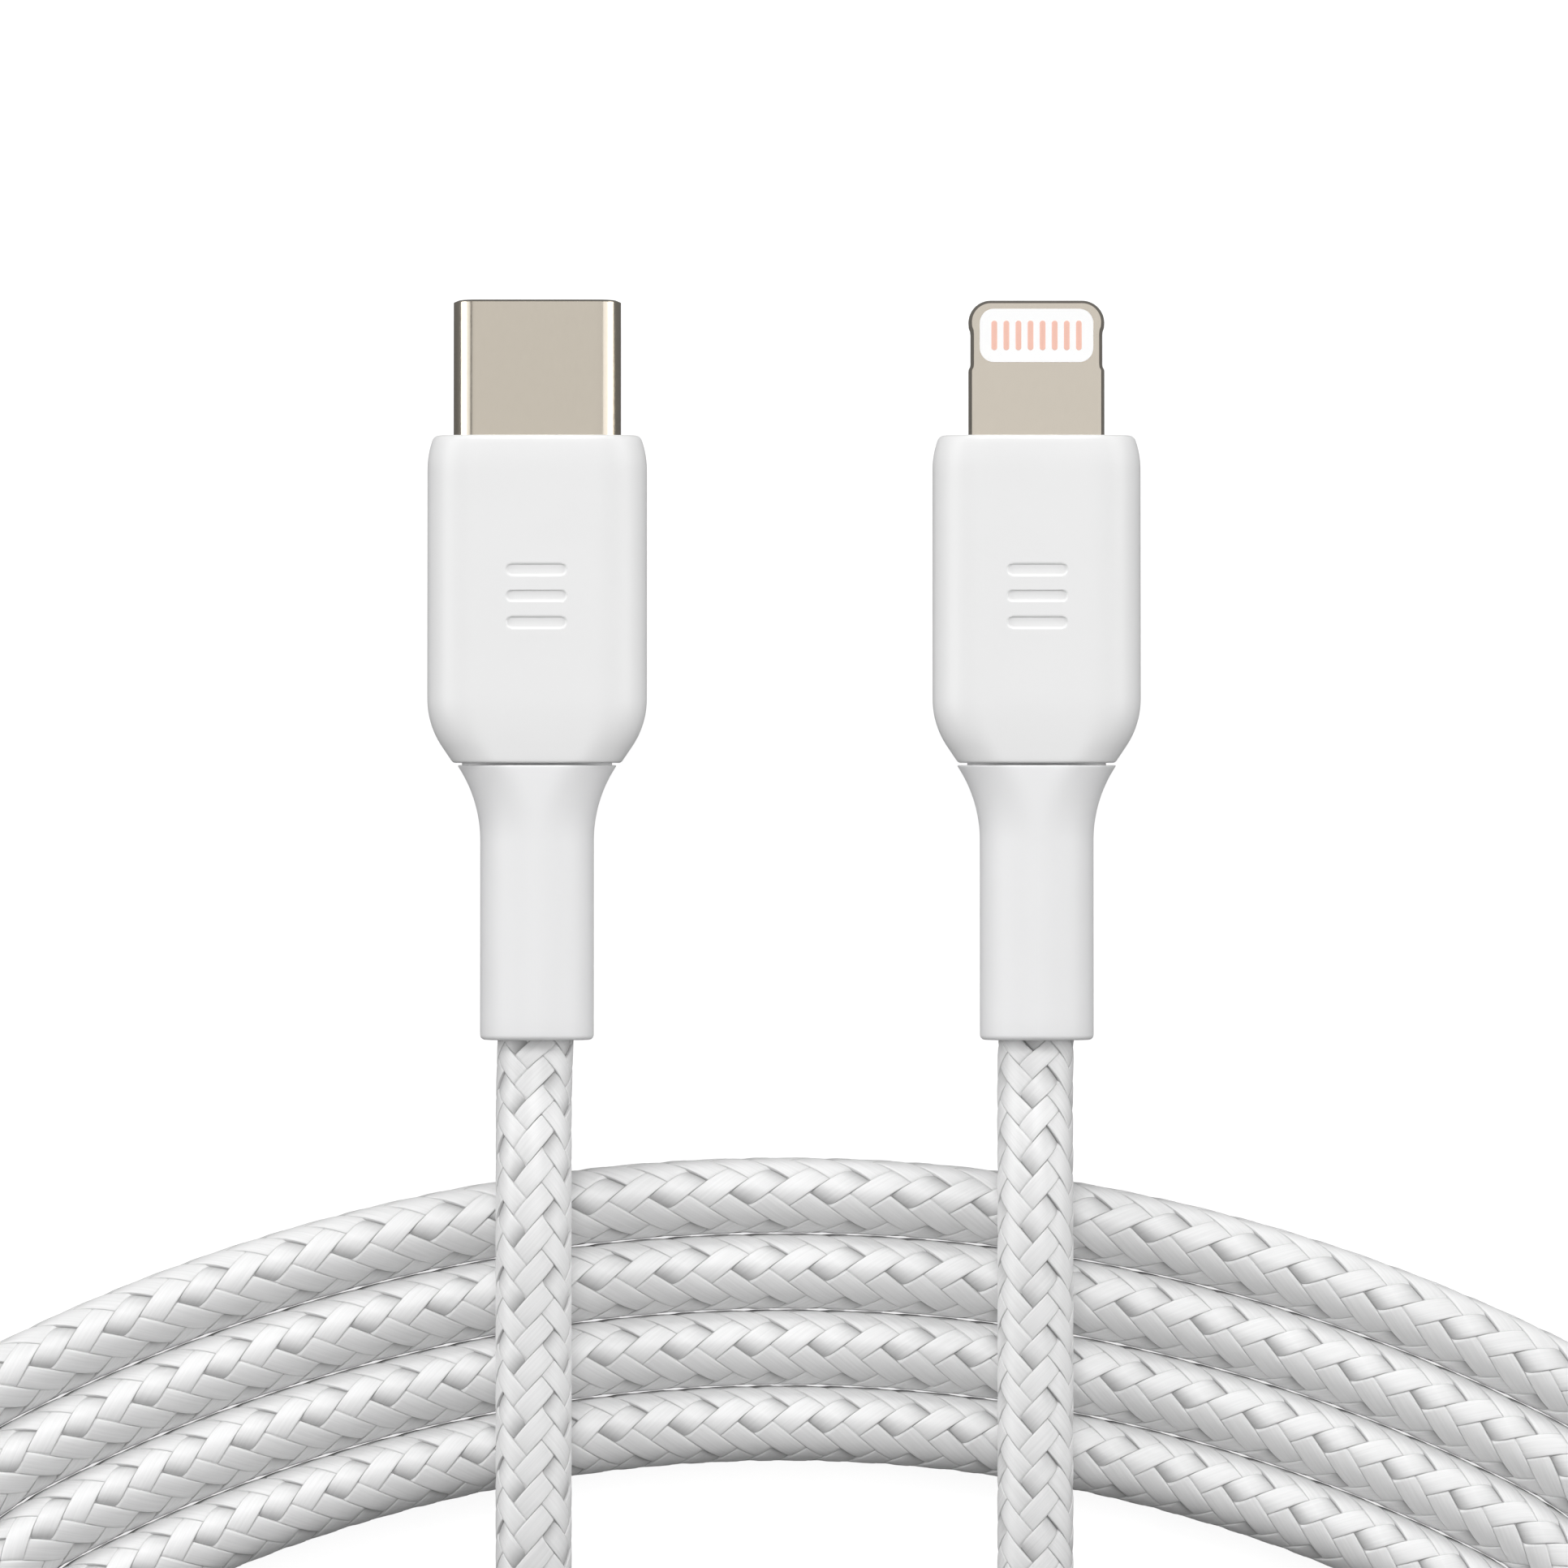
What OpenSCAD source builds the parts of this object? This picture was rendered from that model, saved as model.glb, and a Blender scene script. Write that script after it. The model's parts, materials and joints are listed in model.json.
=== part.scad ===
// Charging cable: a 24-contact oval plug and an 8-contact tab plug on one braided cord.
// It lies on z = 0 as it is shown for sale. The plugs point along +Y, 24.6 mm apart, and the
// cord between them is wound behind them in a flat oval coil of four touching turns.
// The origin is on the surface, under the middle of the two plugs.

/* [Placing] */
// Distance between the centre lines of the two plugs
plug_spacing = 24.6; // [22:0.1:30]
// Angle that lifts each plug's tail, because the cord behind it rides over the coil
plug_tilt = 2.5; // [0:0.5:4]

/* [Housings] */
// Width of the housing on the oval plug
charger_w = 10.8; // [10.4:0.1:12]
// Width of the housing on the tab plug
phone_w = 10.24; // [10:0.02:11]
// Length of each housing
housing_l = 16.2; // [16:0.1:18]
// Thickness of each housing
housing_h = 6; // [5.8:0.1:7]
// Wall of each housing
housing_wall = 0.85; // [0.6:0.05:0.9]
// Radius of the housing's long edges
edge_r = 2.4; // [1.8:0.1:2.6]
// Radius that draws the housing in at its tail
tail_r = 4.2; // [3.5:0.1:4.5]
// Angle at which that radius ends
tail_angle = 34; // [28:1:38]

/* [Strain reliefs] */
// Diameter of the sleeve
sleeve_d = 5.6; // [5:0.1:5.7]
// Distance from the housing's front face to the sleeve's mouth
sleeve_end = 29.8; // [28:0.1:34]
// Radius of the flare that meets the housing
flare_r = 6.6; // [5:0.1:7]
// Gap between the housing and the flare
groove = 0.12; // [0.1:0.01:0.3]

/* [Oval plug] */
// Width of the shell
shell_w = 8.25; // [8.2:0.01:8.3]
// Thickness of the shell
shell_h = 2.4; // [2.35:0.01:2.45]
// Length of shell that shows
shell_l = 6.6; // [6.4:0.05:6.7]
// Wall of the shell
shell_wall = 0.25; // [0.2:0.01:0.26]
// Distance between neighbouring contacts
shell_pitch = 0.5; // [0.5:0.01:0.51]

/* [Tab plug] */
// Width of the tab
tab_w = 6.7; // [6.6:0.05:6.8]
// Thickness of the tab
tab_h = 1.5; // [1.4:0.05:1.6]
// Length of tab that shows
tab_l = 6.6; // [6.5:0.05:6.8]
// Width of the contact window
window_w = 5.6; // [5.4:0.05:5.7]
// Length of the contact window
window_l = 2.64; // [2.4:0.02:2.7]
// Distance between neighbouring contacts
tab_pitch = 0.595; // [0.58:0.005:0.6]

/* [Cord] */
// Diameter of the braided cord
cord_d = 3.75; // [3.75:0.01:3.76]
// Number of turns in the coil
turns = 4; // [4:1:4]
// Radius of the innermost turn at its top, to the middle of the cord
top_r = 73.9; // [73.8:0.1:74]
// Angle that the top arc covers on each side of its middle
top_angle = 27; // [26:1:27]
// Radius of the innermost turn at its two ends, to the middle of the cord
side_r = 13; // [13:0.1:13.1]
// Middle of the cord at the top of the innermost turn
coil_top_y = -37.14; // [-37.2:0.01:-37]

/* [Hidden] */
$fn = 48;
ARC_STEPS = 8;

// Each plug is drawn with its front face at y = 0 and its centre line on the y axis, then placed.
// The widths of the housings differ, so the plugs stand a little off centre to share the middle.
charger_x = -plug_spacing / 2 + (charger_w - phone_w) / 4;
phone_x = charger_x + plug_spacing;
// The front of each housing draws in over this length, and by this much on each side
front_l = 1.76;
front_in = 0.36;
front_r = (front_l * front_l + front_in * front_in) / (2 * front_in);
front_angle = asin(front_l / front_r);
// The tail of each housing gets this much thinner on each side
tail_thin = 0.15;
tail_l = housing_l - 13.04;
// How far the housing has drawn in on each side at its tail, by its arc and then straight on
tail_arc_l = tail_r * sin(tail_angle);
tail_in = tail_r * (1 - cos(tail_angle)) + (tail_l - tail_arc_l) * tan(tail_angle);
// The plug rests on the line where the underside starts to be flat
tip_reach = (shell_l + front_l) * cos(plug_tilt) + (housing_h / 2 + shell_h / 2) * sin(plug_tilt);
tail_reach = (sleeve_end - front_l) * cos(plug_tilt);
rest_y = (tail_reach - tip_reach) / 2;

// Inner layout, along the plug from its front face
front_wall = 1;
cavity_l = 12;
fit_gap = 0.05;
cavity_h = housing_h - 2 * housing_wall + 0.1;
cavity_r = edge_r - housing_wall;
neck_side = 0.45;
can_h = 3.2;
can_wall = 0.2;
can_end = 10.05;
board_h = 0.6;
board_end = 9.4;
core_d = 2.8;
core_front = 9.5;
braid_front = 18;
ferrule_d = 4;
ferrule_end = 12.7;

// Insulator inside the oval shell
inner_w = shell_w - 2 * shell_wall;
inner_h = shell_h - 2 * shell_wall;
mould_gap = 0.02;
tongue_w = 6.8;
tongue_h = 0.9;
insulator_front = shell_l - 0.4;
contact_w = 0.25;
contact_t = 0.12;
latch_x = 3.42;
latch_t = 0.2;

// Contacts of the tab plug
tab_contact_w = 0.3;
tab_contact_l = 1.48;
window_mid = 4.88;

// Coil: four arcs with shared centres, so that every turn is parallel to the last
pitch = cord_d;
top_centre = [0, coil_top_y - top_r];
side_x = (top_r - side_r) * sin(top_angle);
side_y = top_centre[1] + (top_r - side_r) * cos(top_angle);

// Route of the cord from the oval plug, over the coil, down and round into its innermost turn
route_charger = [
    [-12.22, -18.15, 4.22], [-12.24, -18.65, 4.24], [-12.3, -21, 4.6], [-12.3, -24, 5.28],
    [-12.3, -27, 5.63], [-12.3, -33, 5.65], [-12.3, -39, 5.65], [-12.3, -43, 5.45],
    [-12.3, -47, 4.75], [-12.28, -51, 3.6], [-12.15, -55, 2.5], [-11.6, -59.5, 1.95],
    [-9.85, -63.5, 1.88], [-6.6, -67, 1.88], [-2.8, -69, 1.88], [1.8, -69.78, 1.88]
];
// Route of the cord from the outermost turn, up over the coil to the tab plug
route_phone = [
    [-39.8, -77.8, 1.88], [-33.9, -80.2, 2.2], [-27.7, -81.03, 3.05], [-22, -81.03, 4.2],
    [-16, -81.03, 5.1], [-11, -81.03, 5.55], [-6, -81, 5.65], [0.1, -79.5, 5.65],
    [5.2, -76.4, 5.65], [9.2, -72, 5.65], [11.55, -66.5, 5.6], [12.32, -61, 5.35],
    [12.35, -55, 5.05], [12.35, -49, 5.05], [12.35, -44, 5.4], [12.35, -40, 5.63],
    [12.35, -33, 5.65], [12.35, -27, 5.63], [12.35, -24, 5.28], [12.35, -21, 4.6],
    [12.39, -18.65, 4.24], [12.4, -18.15, 4.22]
];

housing_colour = [0.93, 0.93, 0.93];
sleeve_colour = [0.9, 0.9, 0.91];
shell_colour = [0.77, 0.74, 0.69];
contact_colour = [0.97, 0.78, 0.71];
gold_colour = [0.85, 0.65, 0.3];
steel_colour = [0.7, 0.71, 0.72];
plastic_colour = [0.2, 0.2, 0.21];
carrier_colour = [0.97, 0.97, 0.97];
board_colour = [0.1, 0.35, 0.2];
chip_colour = [0.08, 0.08, 0.09];
mould_colour = [0.85, 0.85, 0.82];
core_colour = [0.8, 0.8, 0.8];
power_colour = [0.75, 0.12, 0.1];
signal_colour = [0.15, 0.45, 0.25];
cord_colour = [0.88, 0.88, 0.89];

// ---------- shared shapes ----------

function arc(centre, r, from, to, steps = ARC_STEPS) = [
    for (i = [0:steps])
        let (a = from + (to - from) * i / steps)
        centre + r * [cos(a), sin(a)]
];

function flipped(points) = [for (i = [len(points) - 1:-1:0]) [-points[i][0], points[i][1]]];

function rounded(w, h, r) = concat(
    arc([w / 2 - r, h / 2 - r], r, 0, 90),
    arc([r - w / 2, h / 2 - r], r, 90, 180),
    arc([r - w / 2, r - h / 2], r, 180, 270),
    arc([w / 2 - r, r - h / 2], r, 270, 360)
);

// A flat shape in x and z, made solid along y from y_from back to y_to
module along_y(y_from, y_to) {
    translate([0, y_from, 0]) rotate([90, 0, 0]) linear_extrude(y_from - y_to) children();
}

module rounded_bar(w, h, r, y_from, y_to) {
    along_y(y_from, y_to) polygon(rounded(w, h, r));
}

module stadium_bar(w, h, y_from, y_to) {
    along_y(y_from, y_to) {
        square([w - h, h], center = true);
        for (side = [-1, 1]) translate([side * (w - h) / 2, 0]) circle(d = h);
    }
}

module bar(w, h, y_from, y_to) {
    translate([-w / 2, y_to, -h / 2]) cube([w, y_from - y_to, h]);
}

module rod(d, y_from, y_to, x = 0, z = 0) {
    translate([x, y_from, z]) rotate([90, 0, 0]) cylinder(d = d, h = y_from - y_to);
}

module place(x) {
    translate([x, rest_y, 0]) rotate([-plug_tilt, 0, 0])
        translate([0, front_l, housing_h / 2]) children();
}

module place_charger() {
    place(charger_x) children();
}

module place_phone() {
    place(phone_x) children();
}

// ---------- parts that both plugs have ----------

function housing_side(w) = concat(
    arc([w / 2 - front_r, -front_l], front_r, front_angle, 0),
    arc([w / 2 - tail_r, tail_l - housing_l], tail_r, 0, -tail_angle),
    [[w / 2 - tail_in, -housing_l]]
);

function housing_profile() = concat(
    arc([housing_h / 2 - front_r, -front_l], front_r, front_angle, 0),
    [[housing_h / 2, tail_l - housing_l], [housing_h / 2 - tail_thin / 4, -housing_l + tail_l / 2],
     [housing_h / 2 - tail_thin, -housing_l]]
);

function neck_w(w) = w - 2 * tail_in - 2 * neck_side;

module housing_outer(w) {
    intersection() {
        translate([0, 0, -housing_h])
            linear_extrude(2 * housing_h)
                polygon(concat(housing_side(w), flipped(housing_side(w))));
        rotate([0, 90, 0]) translate([0, 0, -w])
            linear_extrude(2 * w)
                polygon(concat(housing_profile(), flipped(housing_profile())));
        rounded_bar(w, housing_h, edge_r, 1, -housing_l - 1);
    }
}

// Hollow housing: a front wall, a cavity for the inner mould, and a narrower way out at the tail
module housing(w) {
    difference() {
        housing_outer(w);
        rounded_bar(w - 2 * housing_wall, cavity_h, cavity_r, -front_wall, -front_wall - cavity_l);
        rounded_bar(neck_w(w) + 0.1, cavity_h, cavity_r, -front_wall - cavity_l + 0.1, -housing_l - 1);
        children();
    }
}

// Soft filling round the electronics and the crimp
module inner_mould(w, can_w, can_front) {
    difference() {
        rounded_bar(w - 2 * housing_wall - 2 * fit_gap, cavity_h - 2 * fit_gap, cavity_r - fit_gap,
                    -front_wall - fit_gap, -front_wall - cavity_l + fit_gap);
        bar(can_w + fit_gap, can_h + fit_gap, -can_front + fit_gap, -can_end - fit_gap);
        rod(ferrule_d + fit_gap, -can_end, -ferrule_end - fit_gap);
        rod(core_d + fit_gap, -ferrule_end, -housing_l);
        children();
    }
}

// Neck inside the housing, then a flare, then the straight sleeve, with the cord's bore through it
module strain_relief(w) {
    flare_top = housing_l + groove;
    flare_l = flare_r * sin(tail_angle);
    slab = housing_h - 2 * tail_thin;
    outline = concat(
        [[0, -flare_top]],
        arc([sleeve_d / 2 + flare_r, -flare_top - flare_l], flare_r, 180 - tail_angle, 180),
        [[sleeve_d / 2, 0.25 - sleeve_end], [sleeve_d / 2 - 0.25, -sleeve_end], [0, -sleeve_end]]
    );
    difference() {
        union() {
            intersection() {
                rotate([-90, 0, 0]) rotate_extrude() polygon(outline);
                bar(neck_w(w) + 2, slab, 0, -sleeve_end - 1);
            }
            rounded_bar(neck_w(w), cavity_h - 2 * fit_gap, cavity_r - fit_gap,
                        -front_wall - cavity_l - fit_gap, -flare_top - 0.3);
        }
        rod(cord_d + fit_gap, -braid_front + fit_gap, -sleeve_end - 1);
        rod(core_d + fit_gap, -front_wall - cavity_l + 1, -braid_front);
    }
}

// Folded steel box round the board, open at the front, with a hole for the cord's core
module shield_can(w, front) {
    difference() {
        bar(w, can_h, -front, -can_end);
        bar(w - 2 * can_wall, can_h - 2 * can_wall, -front + 1, -can_end + can_wall);
        rod(core_d + fit_gap, -front, -can_end - 1);
    }
}

module crimp_ferrule() {
    difference() {
        rod(ferrule_d, -can_end, -ferrule_end);
        rod(core_d + fit_gap, -can_end + 1, -ferrule_end - 1);
    }
}

module cord_core() {
    rod(core_d, -core_front, -sleeve_end);
}

module braid_end() {
    difference() {
        rod(cord_d, -braid_front, -sleeve_end);
        rod(core_d + fit_gap, -braid_front + 1, -sleeve_end - 1);
    }
}

// Two supply wires lie on the board and three signal wires under it
module power_wires() {
    wire_d = 0.8;
    for (x = [-0.5, 0.5])
        rod(wire_d, -7.4, -core_front, x, (board_h + wire_d) / 2 + 0.01);
}

module signal_wires() {
    wire_d = 0.6;
    for (x = [-0.7, 0, 0.7])
        rod(wire_d, -7.4, -core_front, x, -(board_h + wire_d) / 2 - 0.01);
}

module chip(size, h) {
    translate([-size / 2, -4.4 - size / 2, board_h / 2]) cube([size, size, h]);
}

// Small two-ended parts soldered beside the chip and under it
module board_parts(x, rows) {
    for (side = [-1, 1], y = rows)
        translate([side * x - 0.25, y - 0.5, board_h / 2]) cube([0.5, 1, 0.45]);
    for (side = [-1, 1])
        translate([side * 1.2 - 0.25, -5, -board_h / 2 - 0.35]) cube([0.5, 1, 0.35]);
}

// ---------- oval plug, for the charger ----------

module charger_shell() {
    color(shell_colour) place_charger()
        difference() {
            stadium_bar(shell_w, shell_h, shell_l, -1.6);
            stadium_bar(inner_w, inner_h, shell_l + 1, -2);
        }
}

module charger_insulator() {
    color(plastic_colour) place_charger()
        difference() {
            stadium_bar(inner_w - 2 * mould_gap, inner_h - 2 * mould_gap, insulator_front, -1);
            bar(tongue_w, tongue_h, insulator_front + 1, 0);
            // A slot for each contact, open to the shell where the contact bends
            for (i = [0:11])
                translate([(i - 5.5) * shell_pitch, 0, 0]) {
                    bar(contact_w + 0.08, 1.7, 0.1, -2);
                    bar(contact_w + 0.08, 3, 5.2, 0);
                }
            // A pocket for each ground spring
            bar(5.3, 1.32, insulator_front + 1, 5.3);
            // A slot on each side for the latches
            for (side = [-1, 1])
                translate([side * 3.8, 0, 0]) bar(1, 0.66, 5.8, -0.85);
        }
}

// One row of twelve spring contacts, each bent so that it touches the socket near its tip
module contact_row() {
    path = [[-2.2, 0.31], [-1.3, 0.31], [-1, 0.6], [3.6, 0.6], [4.4, 0.32], [5, 0.5]];
    lifted = [for (i = [len(path) - 1:-1:0]) path[i] + [0, contact_t]];
    for (i = [0:11])
        translate([(i - 5.5) * shell_pitch - contact_w / 2, 0, 0])
            rotate([90, 0, 90]) linear_extrude(contact_w) polygon(concat(path, lifted));
}

module charger_contacts_upper() {
    color(gold_colour) place_charger() contact_row();
}

module charger_contacts_lower() {
    color(gold_colour) place_charger() mirror([0, 0, 1]) contact_row();
}

// Spring arm that holds the plug in the socket, with its hook towards the middle
module latch() {
    translate([0, 0, -0.25])
        linear_extrude(0.5)
            polygon([
                [latch_x, -0.8], [latch_x + latch_t, -0.8], [latch_x + latch_t, 5.6],
                [latch_x, 5.6], [3.15, 5.25], [3.15, 4.95], [latch_x, 4.4]
            ]);
}

module charger_latch_left() {
    color(steel_colour) place_charger() mirror([1, 0, 0]) latch();
}

module charger_latch_right() {
    color(steel_colour) place_charger() latch();
}

module charger_ground_springs() {
    color(steel_colour) place_charger()
        for (side = [0, 1])
            mirror([0, 0, side]) {
                translate([0, 0, 0.57]) bar(5.2, 0.12, 6.1, 5.35);
                for (x = [-1.7, 0, 1.7])
                    translate([x - 0.3, 5.7, 0.53]) rotate([0, 90, 0]) cylinder(d = 0.26, h = 0.6);
            }
}

module charger_board() {
    color(board_colour) place_charger() bar(7, board_h, -1.15, -board_end);
}

module charger_chip() {
    color(chip_colour) place_charger() chip(3, 0.75);
}

module charger_board_parts() {
    color(core_colour) place_charger() board_parts(2.5, [-3.4, -5.4]);
}

module charger_shield_can() {
    color(steel_colour) place_charger() shield_can(7.8, 1.7);
}

module charger_crimp_ferrule() {
    color(steel_colour) place_charger() crimp_ferrule();
}

module charger_power_wires() {
    color(power_colour) place_charger() power_wires();
}

module charger_signal_wires() {
    color(signal_colour) place_charger() signal_wires();
}

module charger_cord_core() {
    color(core_colour) place_charger() cord_core();
}

module charger_braid_end() {
    color(cord_colour) place_charger() braid_end();
}

module charger_inner_mould() {
    color(mould_colour) place_charger()
        inner_mould(charger_w, 7.8, 1.7) stadium_bar(shell_w + fit_gap, shell_h + fit_gap, 0, -2);
}

module charger_housing() {
    color(housing_colour) place_charger()
        housing(charger_w) stadium_bar(shell_w + 0.08, shell_h + 0.08, 1, -2);
}

module charger_strain_relief() {
    color(sleeve_colour) place_charger() strain_relief(charger_w);
}

// ---------- tab plug, for the phone ----------

function tab_side() = let (w = tab_w / 2, notch = 0.1) concat(
    arc([w - 1.1, tab_l - 1.1], 1.1, 90, 0),
    [[w, 5.25], [w - notch, 4.95], [w - notch, 3.35], [w, 3.15], [w, -1.5]]
);

module window(w, l, r, h) {
    translate([0, window_mid, -h / 2]) linear_extrude(h) polygon(rounded(w, l, r));
}

module pill(h) {
    translate([0, (tab_contact_l - tab_contact_w) / 2]) cylinder(d = tab_contact_w, h = h);
    translate([0, -(tab_contact_l - tab_contact_w) / 2]) cylinder(d = tab_contact_w, h = h);
    translate([-tab_contact_w / 2, -(tab_contact_l - tab_contact_w) / 2, 0])
        cube([tab_contact_w, tab_contact_l - tab_contact_w, h]);
}

module tab_contact_row(from, h) {
    for (i = [0:7])
        translate([(i - 3.5) * tab_pitch, window_mid, from]) pill(h);
}

// Steel frame of the tab, with a window for the contacts and a flange held in the housing
module phone_tab() {
    color(shell_colour) place_phone()
        difference() {
            union() {
                translate([0, 0, -tab_h / 2])
                    linear_extrude(tab_h) polygon(concat(flipped(tab_side()), tab_side()));
                rounded_bar(8, 3, 0.5, -1.1, -2.1);
            }
            window(window_w, window_l, 0.7, 2);
            bar(4.8, 0.7, 4, -3);
        }
}

module phone_contact_carrier() {
    color(carrier_colour) place_phone()
        difference() {
            window(window_w - 0.01, window_l - 0.01, 0.695, tab_h);
            bar(4.62, board_h + 0.02, 5.81, 3);
            tab_contact_row(0, 2);
            mirror([0, 0, 1]) tab_contact_row(0, 2);
        }
}

module phone_contacts_upper() {
    color(contact_colour) place_phone() tab_contact_row(board_h / 2, (tab_h - board_h) / 2 + 0.01);
}

module phone_contacts_lower() {
    color(contact_colour) place_phone()
        mirror([0, 0, 1]) tab_contact_row(board_h / 2, (tab_h - board_h) / 2 + 0.01);
}

module phone_board() {
    color(board_colour) place_phone() {
        bar(4.6, board_h, 5.8, -2.3);
        bar(6.6, board_h, -2.3, -board_end);
    }
}

module phone_chip() {
    color(chip_colour) place_phone() chip(2.6, 0.7);
}

module phone_board_parts() {
    color(core_colour) place_phone() board_parts(2.3, [-3.2, -4.8, -6.4]);
}

module phone_shield_can() {
    color(steel_colour) place_phone() shield_can(7.4, 2.15);
}

module phone_crimp_ferrule() {
    color(steel_colour) place_phone() crimp_ferrule();
}

module phone_power_wires() {
    color(power_colour) place_phone() power_wires();
}

module phone_signal_wires() {
    color(signal_colour) place_phone() signal_wires();
}

module phone_cord_core() {
    color(core_colour) place_phone() cord_core();
}

module phone_braid_end() {
    color(cord_colour) place_phone() braid_end();
}

module phone_inner_mould() {
    color(mould_colour) place_phone()
        inner_mould(phone_w, 7.4, 2.15) {
            bar(tab_w + fit_gap, tab_h + fit_gap, 0, -2);
            rounded_bar(8 + fit_gap, 3 + fit_gap, 0.5, -1.1 + fit_gap, -2.1 - fit_gap);
        }
}

module phone_housing() {
    color(housing_colour) place_phone() housing(phone_w) bar(tab_w + 0.08, tab_h + 0.08, 1, -2);
}

module phone_strain_relief() {
    color(sleeve_colour) place_phone() strain_relief(phone_w);
}

// ---------- cord ----------

SIDES = 8;

function unit(v) = v / norm(v);

// Ring of points round a place on the route, square to the way that the route runs there
function ring(at, ahead) = let (
    side = unit(cross(ahead, [0, 0, 1])),
    up = cross(side, unit(ahead))
) [
    for (i = [0:SIDES - 1])
        at + cord_d / 2 * (cos(i * 360 / SIDES) * side + sin(i * 360 / SIDES) * up)
];

module cord_tube(route) {
    last = len(route) - 1;
    points = [
        for (i = [0:last])
            each ring(route[i], route[min(i + 1, last)] - route[max(i - 1, 0)])
    ];
    faces = [
        [for (j = [0:SIDES - 1]) j],
        [for (j = [SIDES - 1:-1:0]) last * SIDES + j],
        for (i = [0:last - 1], j = [0:SIDES - 1])
            let (a = i * SIDES + j, b = i * SIDES + (j + 1) % SIDES)
            each [[a, a + SIDES, b], [b, a + SIDES, b + SIDES]]
    ];
    polyhedron(points, faces);
}

module cord_lead_charger() {
    color(cord_colour) cord_tube(route_charger);
}

module cord_lead_phone() {
    color(cord_colour) cord_tube(route_phone);
}

// Closed outline that is parallel to the innermost turn's middle, at a distance outside it
function oval(out) = concat(
    arc(top_centre, top_r + out, 90 - top_angle, 90 + top_angle, 12),
    arc([-side_x, side_y], side_r + out, 90 + top_angle, 270, 16),
    arc([side_x, side_y], side_r + out, -90, 90 - top_angle, 16)
);

module cord_coil() {
    color(cord_colour)
        linear_extrude(cord_d)
            difference() {
                polygon(oval((turns - 0.5) * pitch));
                polygon(oval(-0.5 * pitch));
            }
}

charger_shell();
charger_insulator();
charger_contacts_upper();
charger_contacts_lower();
charger_latch_left();
charger_latch_right();
charger_ground_springs();
charger_board();
charger_chip();
charger_board_parts();
charger_shield_can();
charger_crimp_ferrule();
charger_power_wires();
charger_signal_wires();
charger_cord_core();
charger_braid_end();
charger_inner_mould();
charger_housing();
charger_strain_relief();
phone_tab();
phone_contact_carrier();
phone_contacts_upper();
phone_contacts_lower();
phone_board();
phone_chip();
phone_board_parts();
phone_shield_can();
phone_crimp_ferrule();
phone_power_wires();
phone_signal_wires();
phone_cord_core();
phone_braid_end();
phone_inner_mould();
phone_housing();
phone_strain_relief();
cord_lead_charger();
cord_lead_phone();
cord_coil();
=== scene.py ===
import json
import math

import bmesh
import bpy
import numpy as np
from mathutils import Matrix, Vector


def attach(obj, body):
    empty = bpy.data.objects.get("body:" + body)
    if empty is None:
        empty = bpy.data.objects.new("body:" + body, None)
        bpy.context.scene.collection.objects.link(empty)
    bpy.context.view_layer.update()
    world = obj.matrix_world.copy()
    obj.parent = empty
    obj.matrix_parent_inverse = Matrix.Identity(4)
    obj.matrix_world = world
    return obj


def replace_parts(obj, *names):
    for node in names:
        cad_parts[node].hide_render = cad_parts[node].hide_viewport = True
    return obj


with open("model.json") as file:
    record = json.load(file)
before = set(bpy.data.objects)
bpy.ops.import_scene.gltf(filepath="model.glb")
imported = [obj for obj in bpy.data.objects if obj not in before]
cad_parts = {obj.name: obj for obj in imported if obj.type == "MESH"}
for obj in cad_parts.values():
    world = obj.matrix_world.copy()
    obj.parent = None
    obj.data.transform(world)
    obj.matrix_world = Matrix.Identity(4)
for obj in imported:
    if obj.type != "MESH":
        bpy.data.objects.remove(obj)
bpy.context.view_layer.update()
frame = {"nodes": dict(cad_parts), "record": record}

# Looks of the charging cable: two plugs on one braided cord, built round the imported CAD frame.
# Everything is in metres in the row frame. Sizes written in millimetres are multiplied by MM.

MM = 0.001
scene = bpy.context.scene

# ---------- camera: straight down from far away, as the product is shown ----------

CAMERA_HEIGHT = 0.8        # above the middle of the plugs
VIEW_WIDTH = 0.07728       # what the square picture takes in at that height
VIEW_MIDDLE_Y = -0.0056
PLUG_MIDDLE_Z = 0.003
SENSOR_WIDTH = 36.0


def make_camera():
    data = bpy.data.cameras.new("camera")
    data.sensor_width = SENSOR_WIDTH
    data.lens = SENSOR_WIDTH * CAMERA_HEIGHT / VIEW_WIDTH
    data.clip_start = 0.01
    data.clip_end = 10
    camera = bpy.data.objects.new("camera", data)
    camera.location = (0, VIEW_MIDDLE_Y, CAMERA_HEIGHT + PLUG_MIDDLE_Z)
    scene.collection.objects.link(camera)
    scene.camera = camera


make_camera()

# ---------- places taken from the frame ----------

TIP_LENGTH = 6.6 * MM      # from the housing's front face to the tip of either plug
SLEEVE_END = 29.84 * MM    # from that face back to the mouth of the strain relief


def plug_frame(mount_name):
    """Matrix from a plug's own axes to the row frame.

    In them the plug points along +y, its front face is at y = 0 and its middle at x = 0 and z = 0.
    """
    mount = next(m for m in frame["record"]["mounts"] if m["name"] == mount_name)
    forward = Vector(mount["axis"]).normalized()
    across = Vector((1, 0, 0))
    up = across.cross(forward)
    origin = Vector(mount["pos_m"]) - TIP_LENGTH * forward
    turn = Matrix((across, forward, up)).transposed().to_4x4()
    return Matrix.Translation(origin) @ turn


charger = plug_frame("charger_plug")
phone = plug_frame("phone_plug")
# The plugs' tails are raised by a few degrees. This slant keeps the moulded parts' end faces upright.
UPRIGHT = Matrix(((1, 0, 0, 0), (0, 1, charger[2][1] / charger[2][2], 0), (0, 0, 1, 0), (0, 0, 0, 1)))

# ---------- the cord's route ----------

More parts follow.
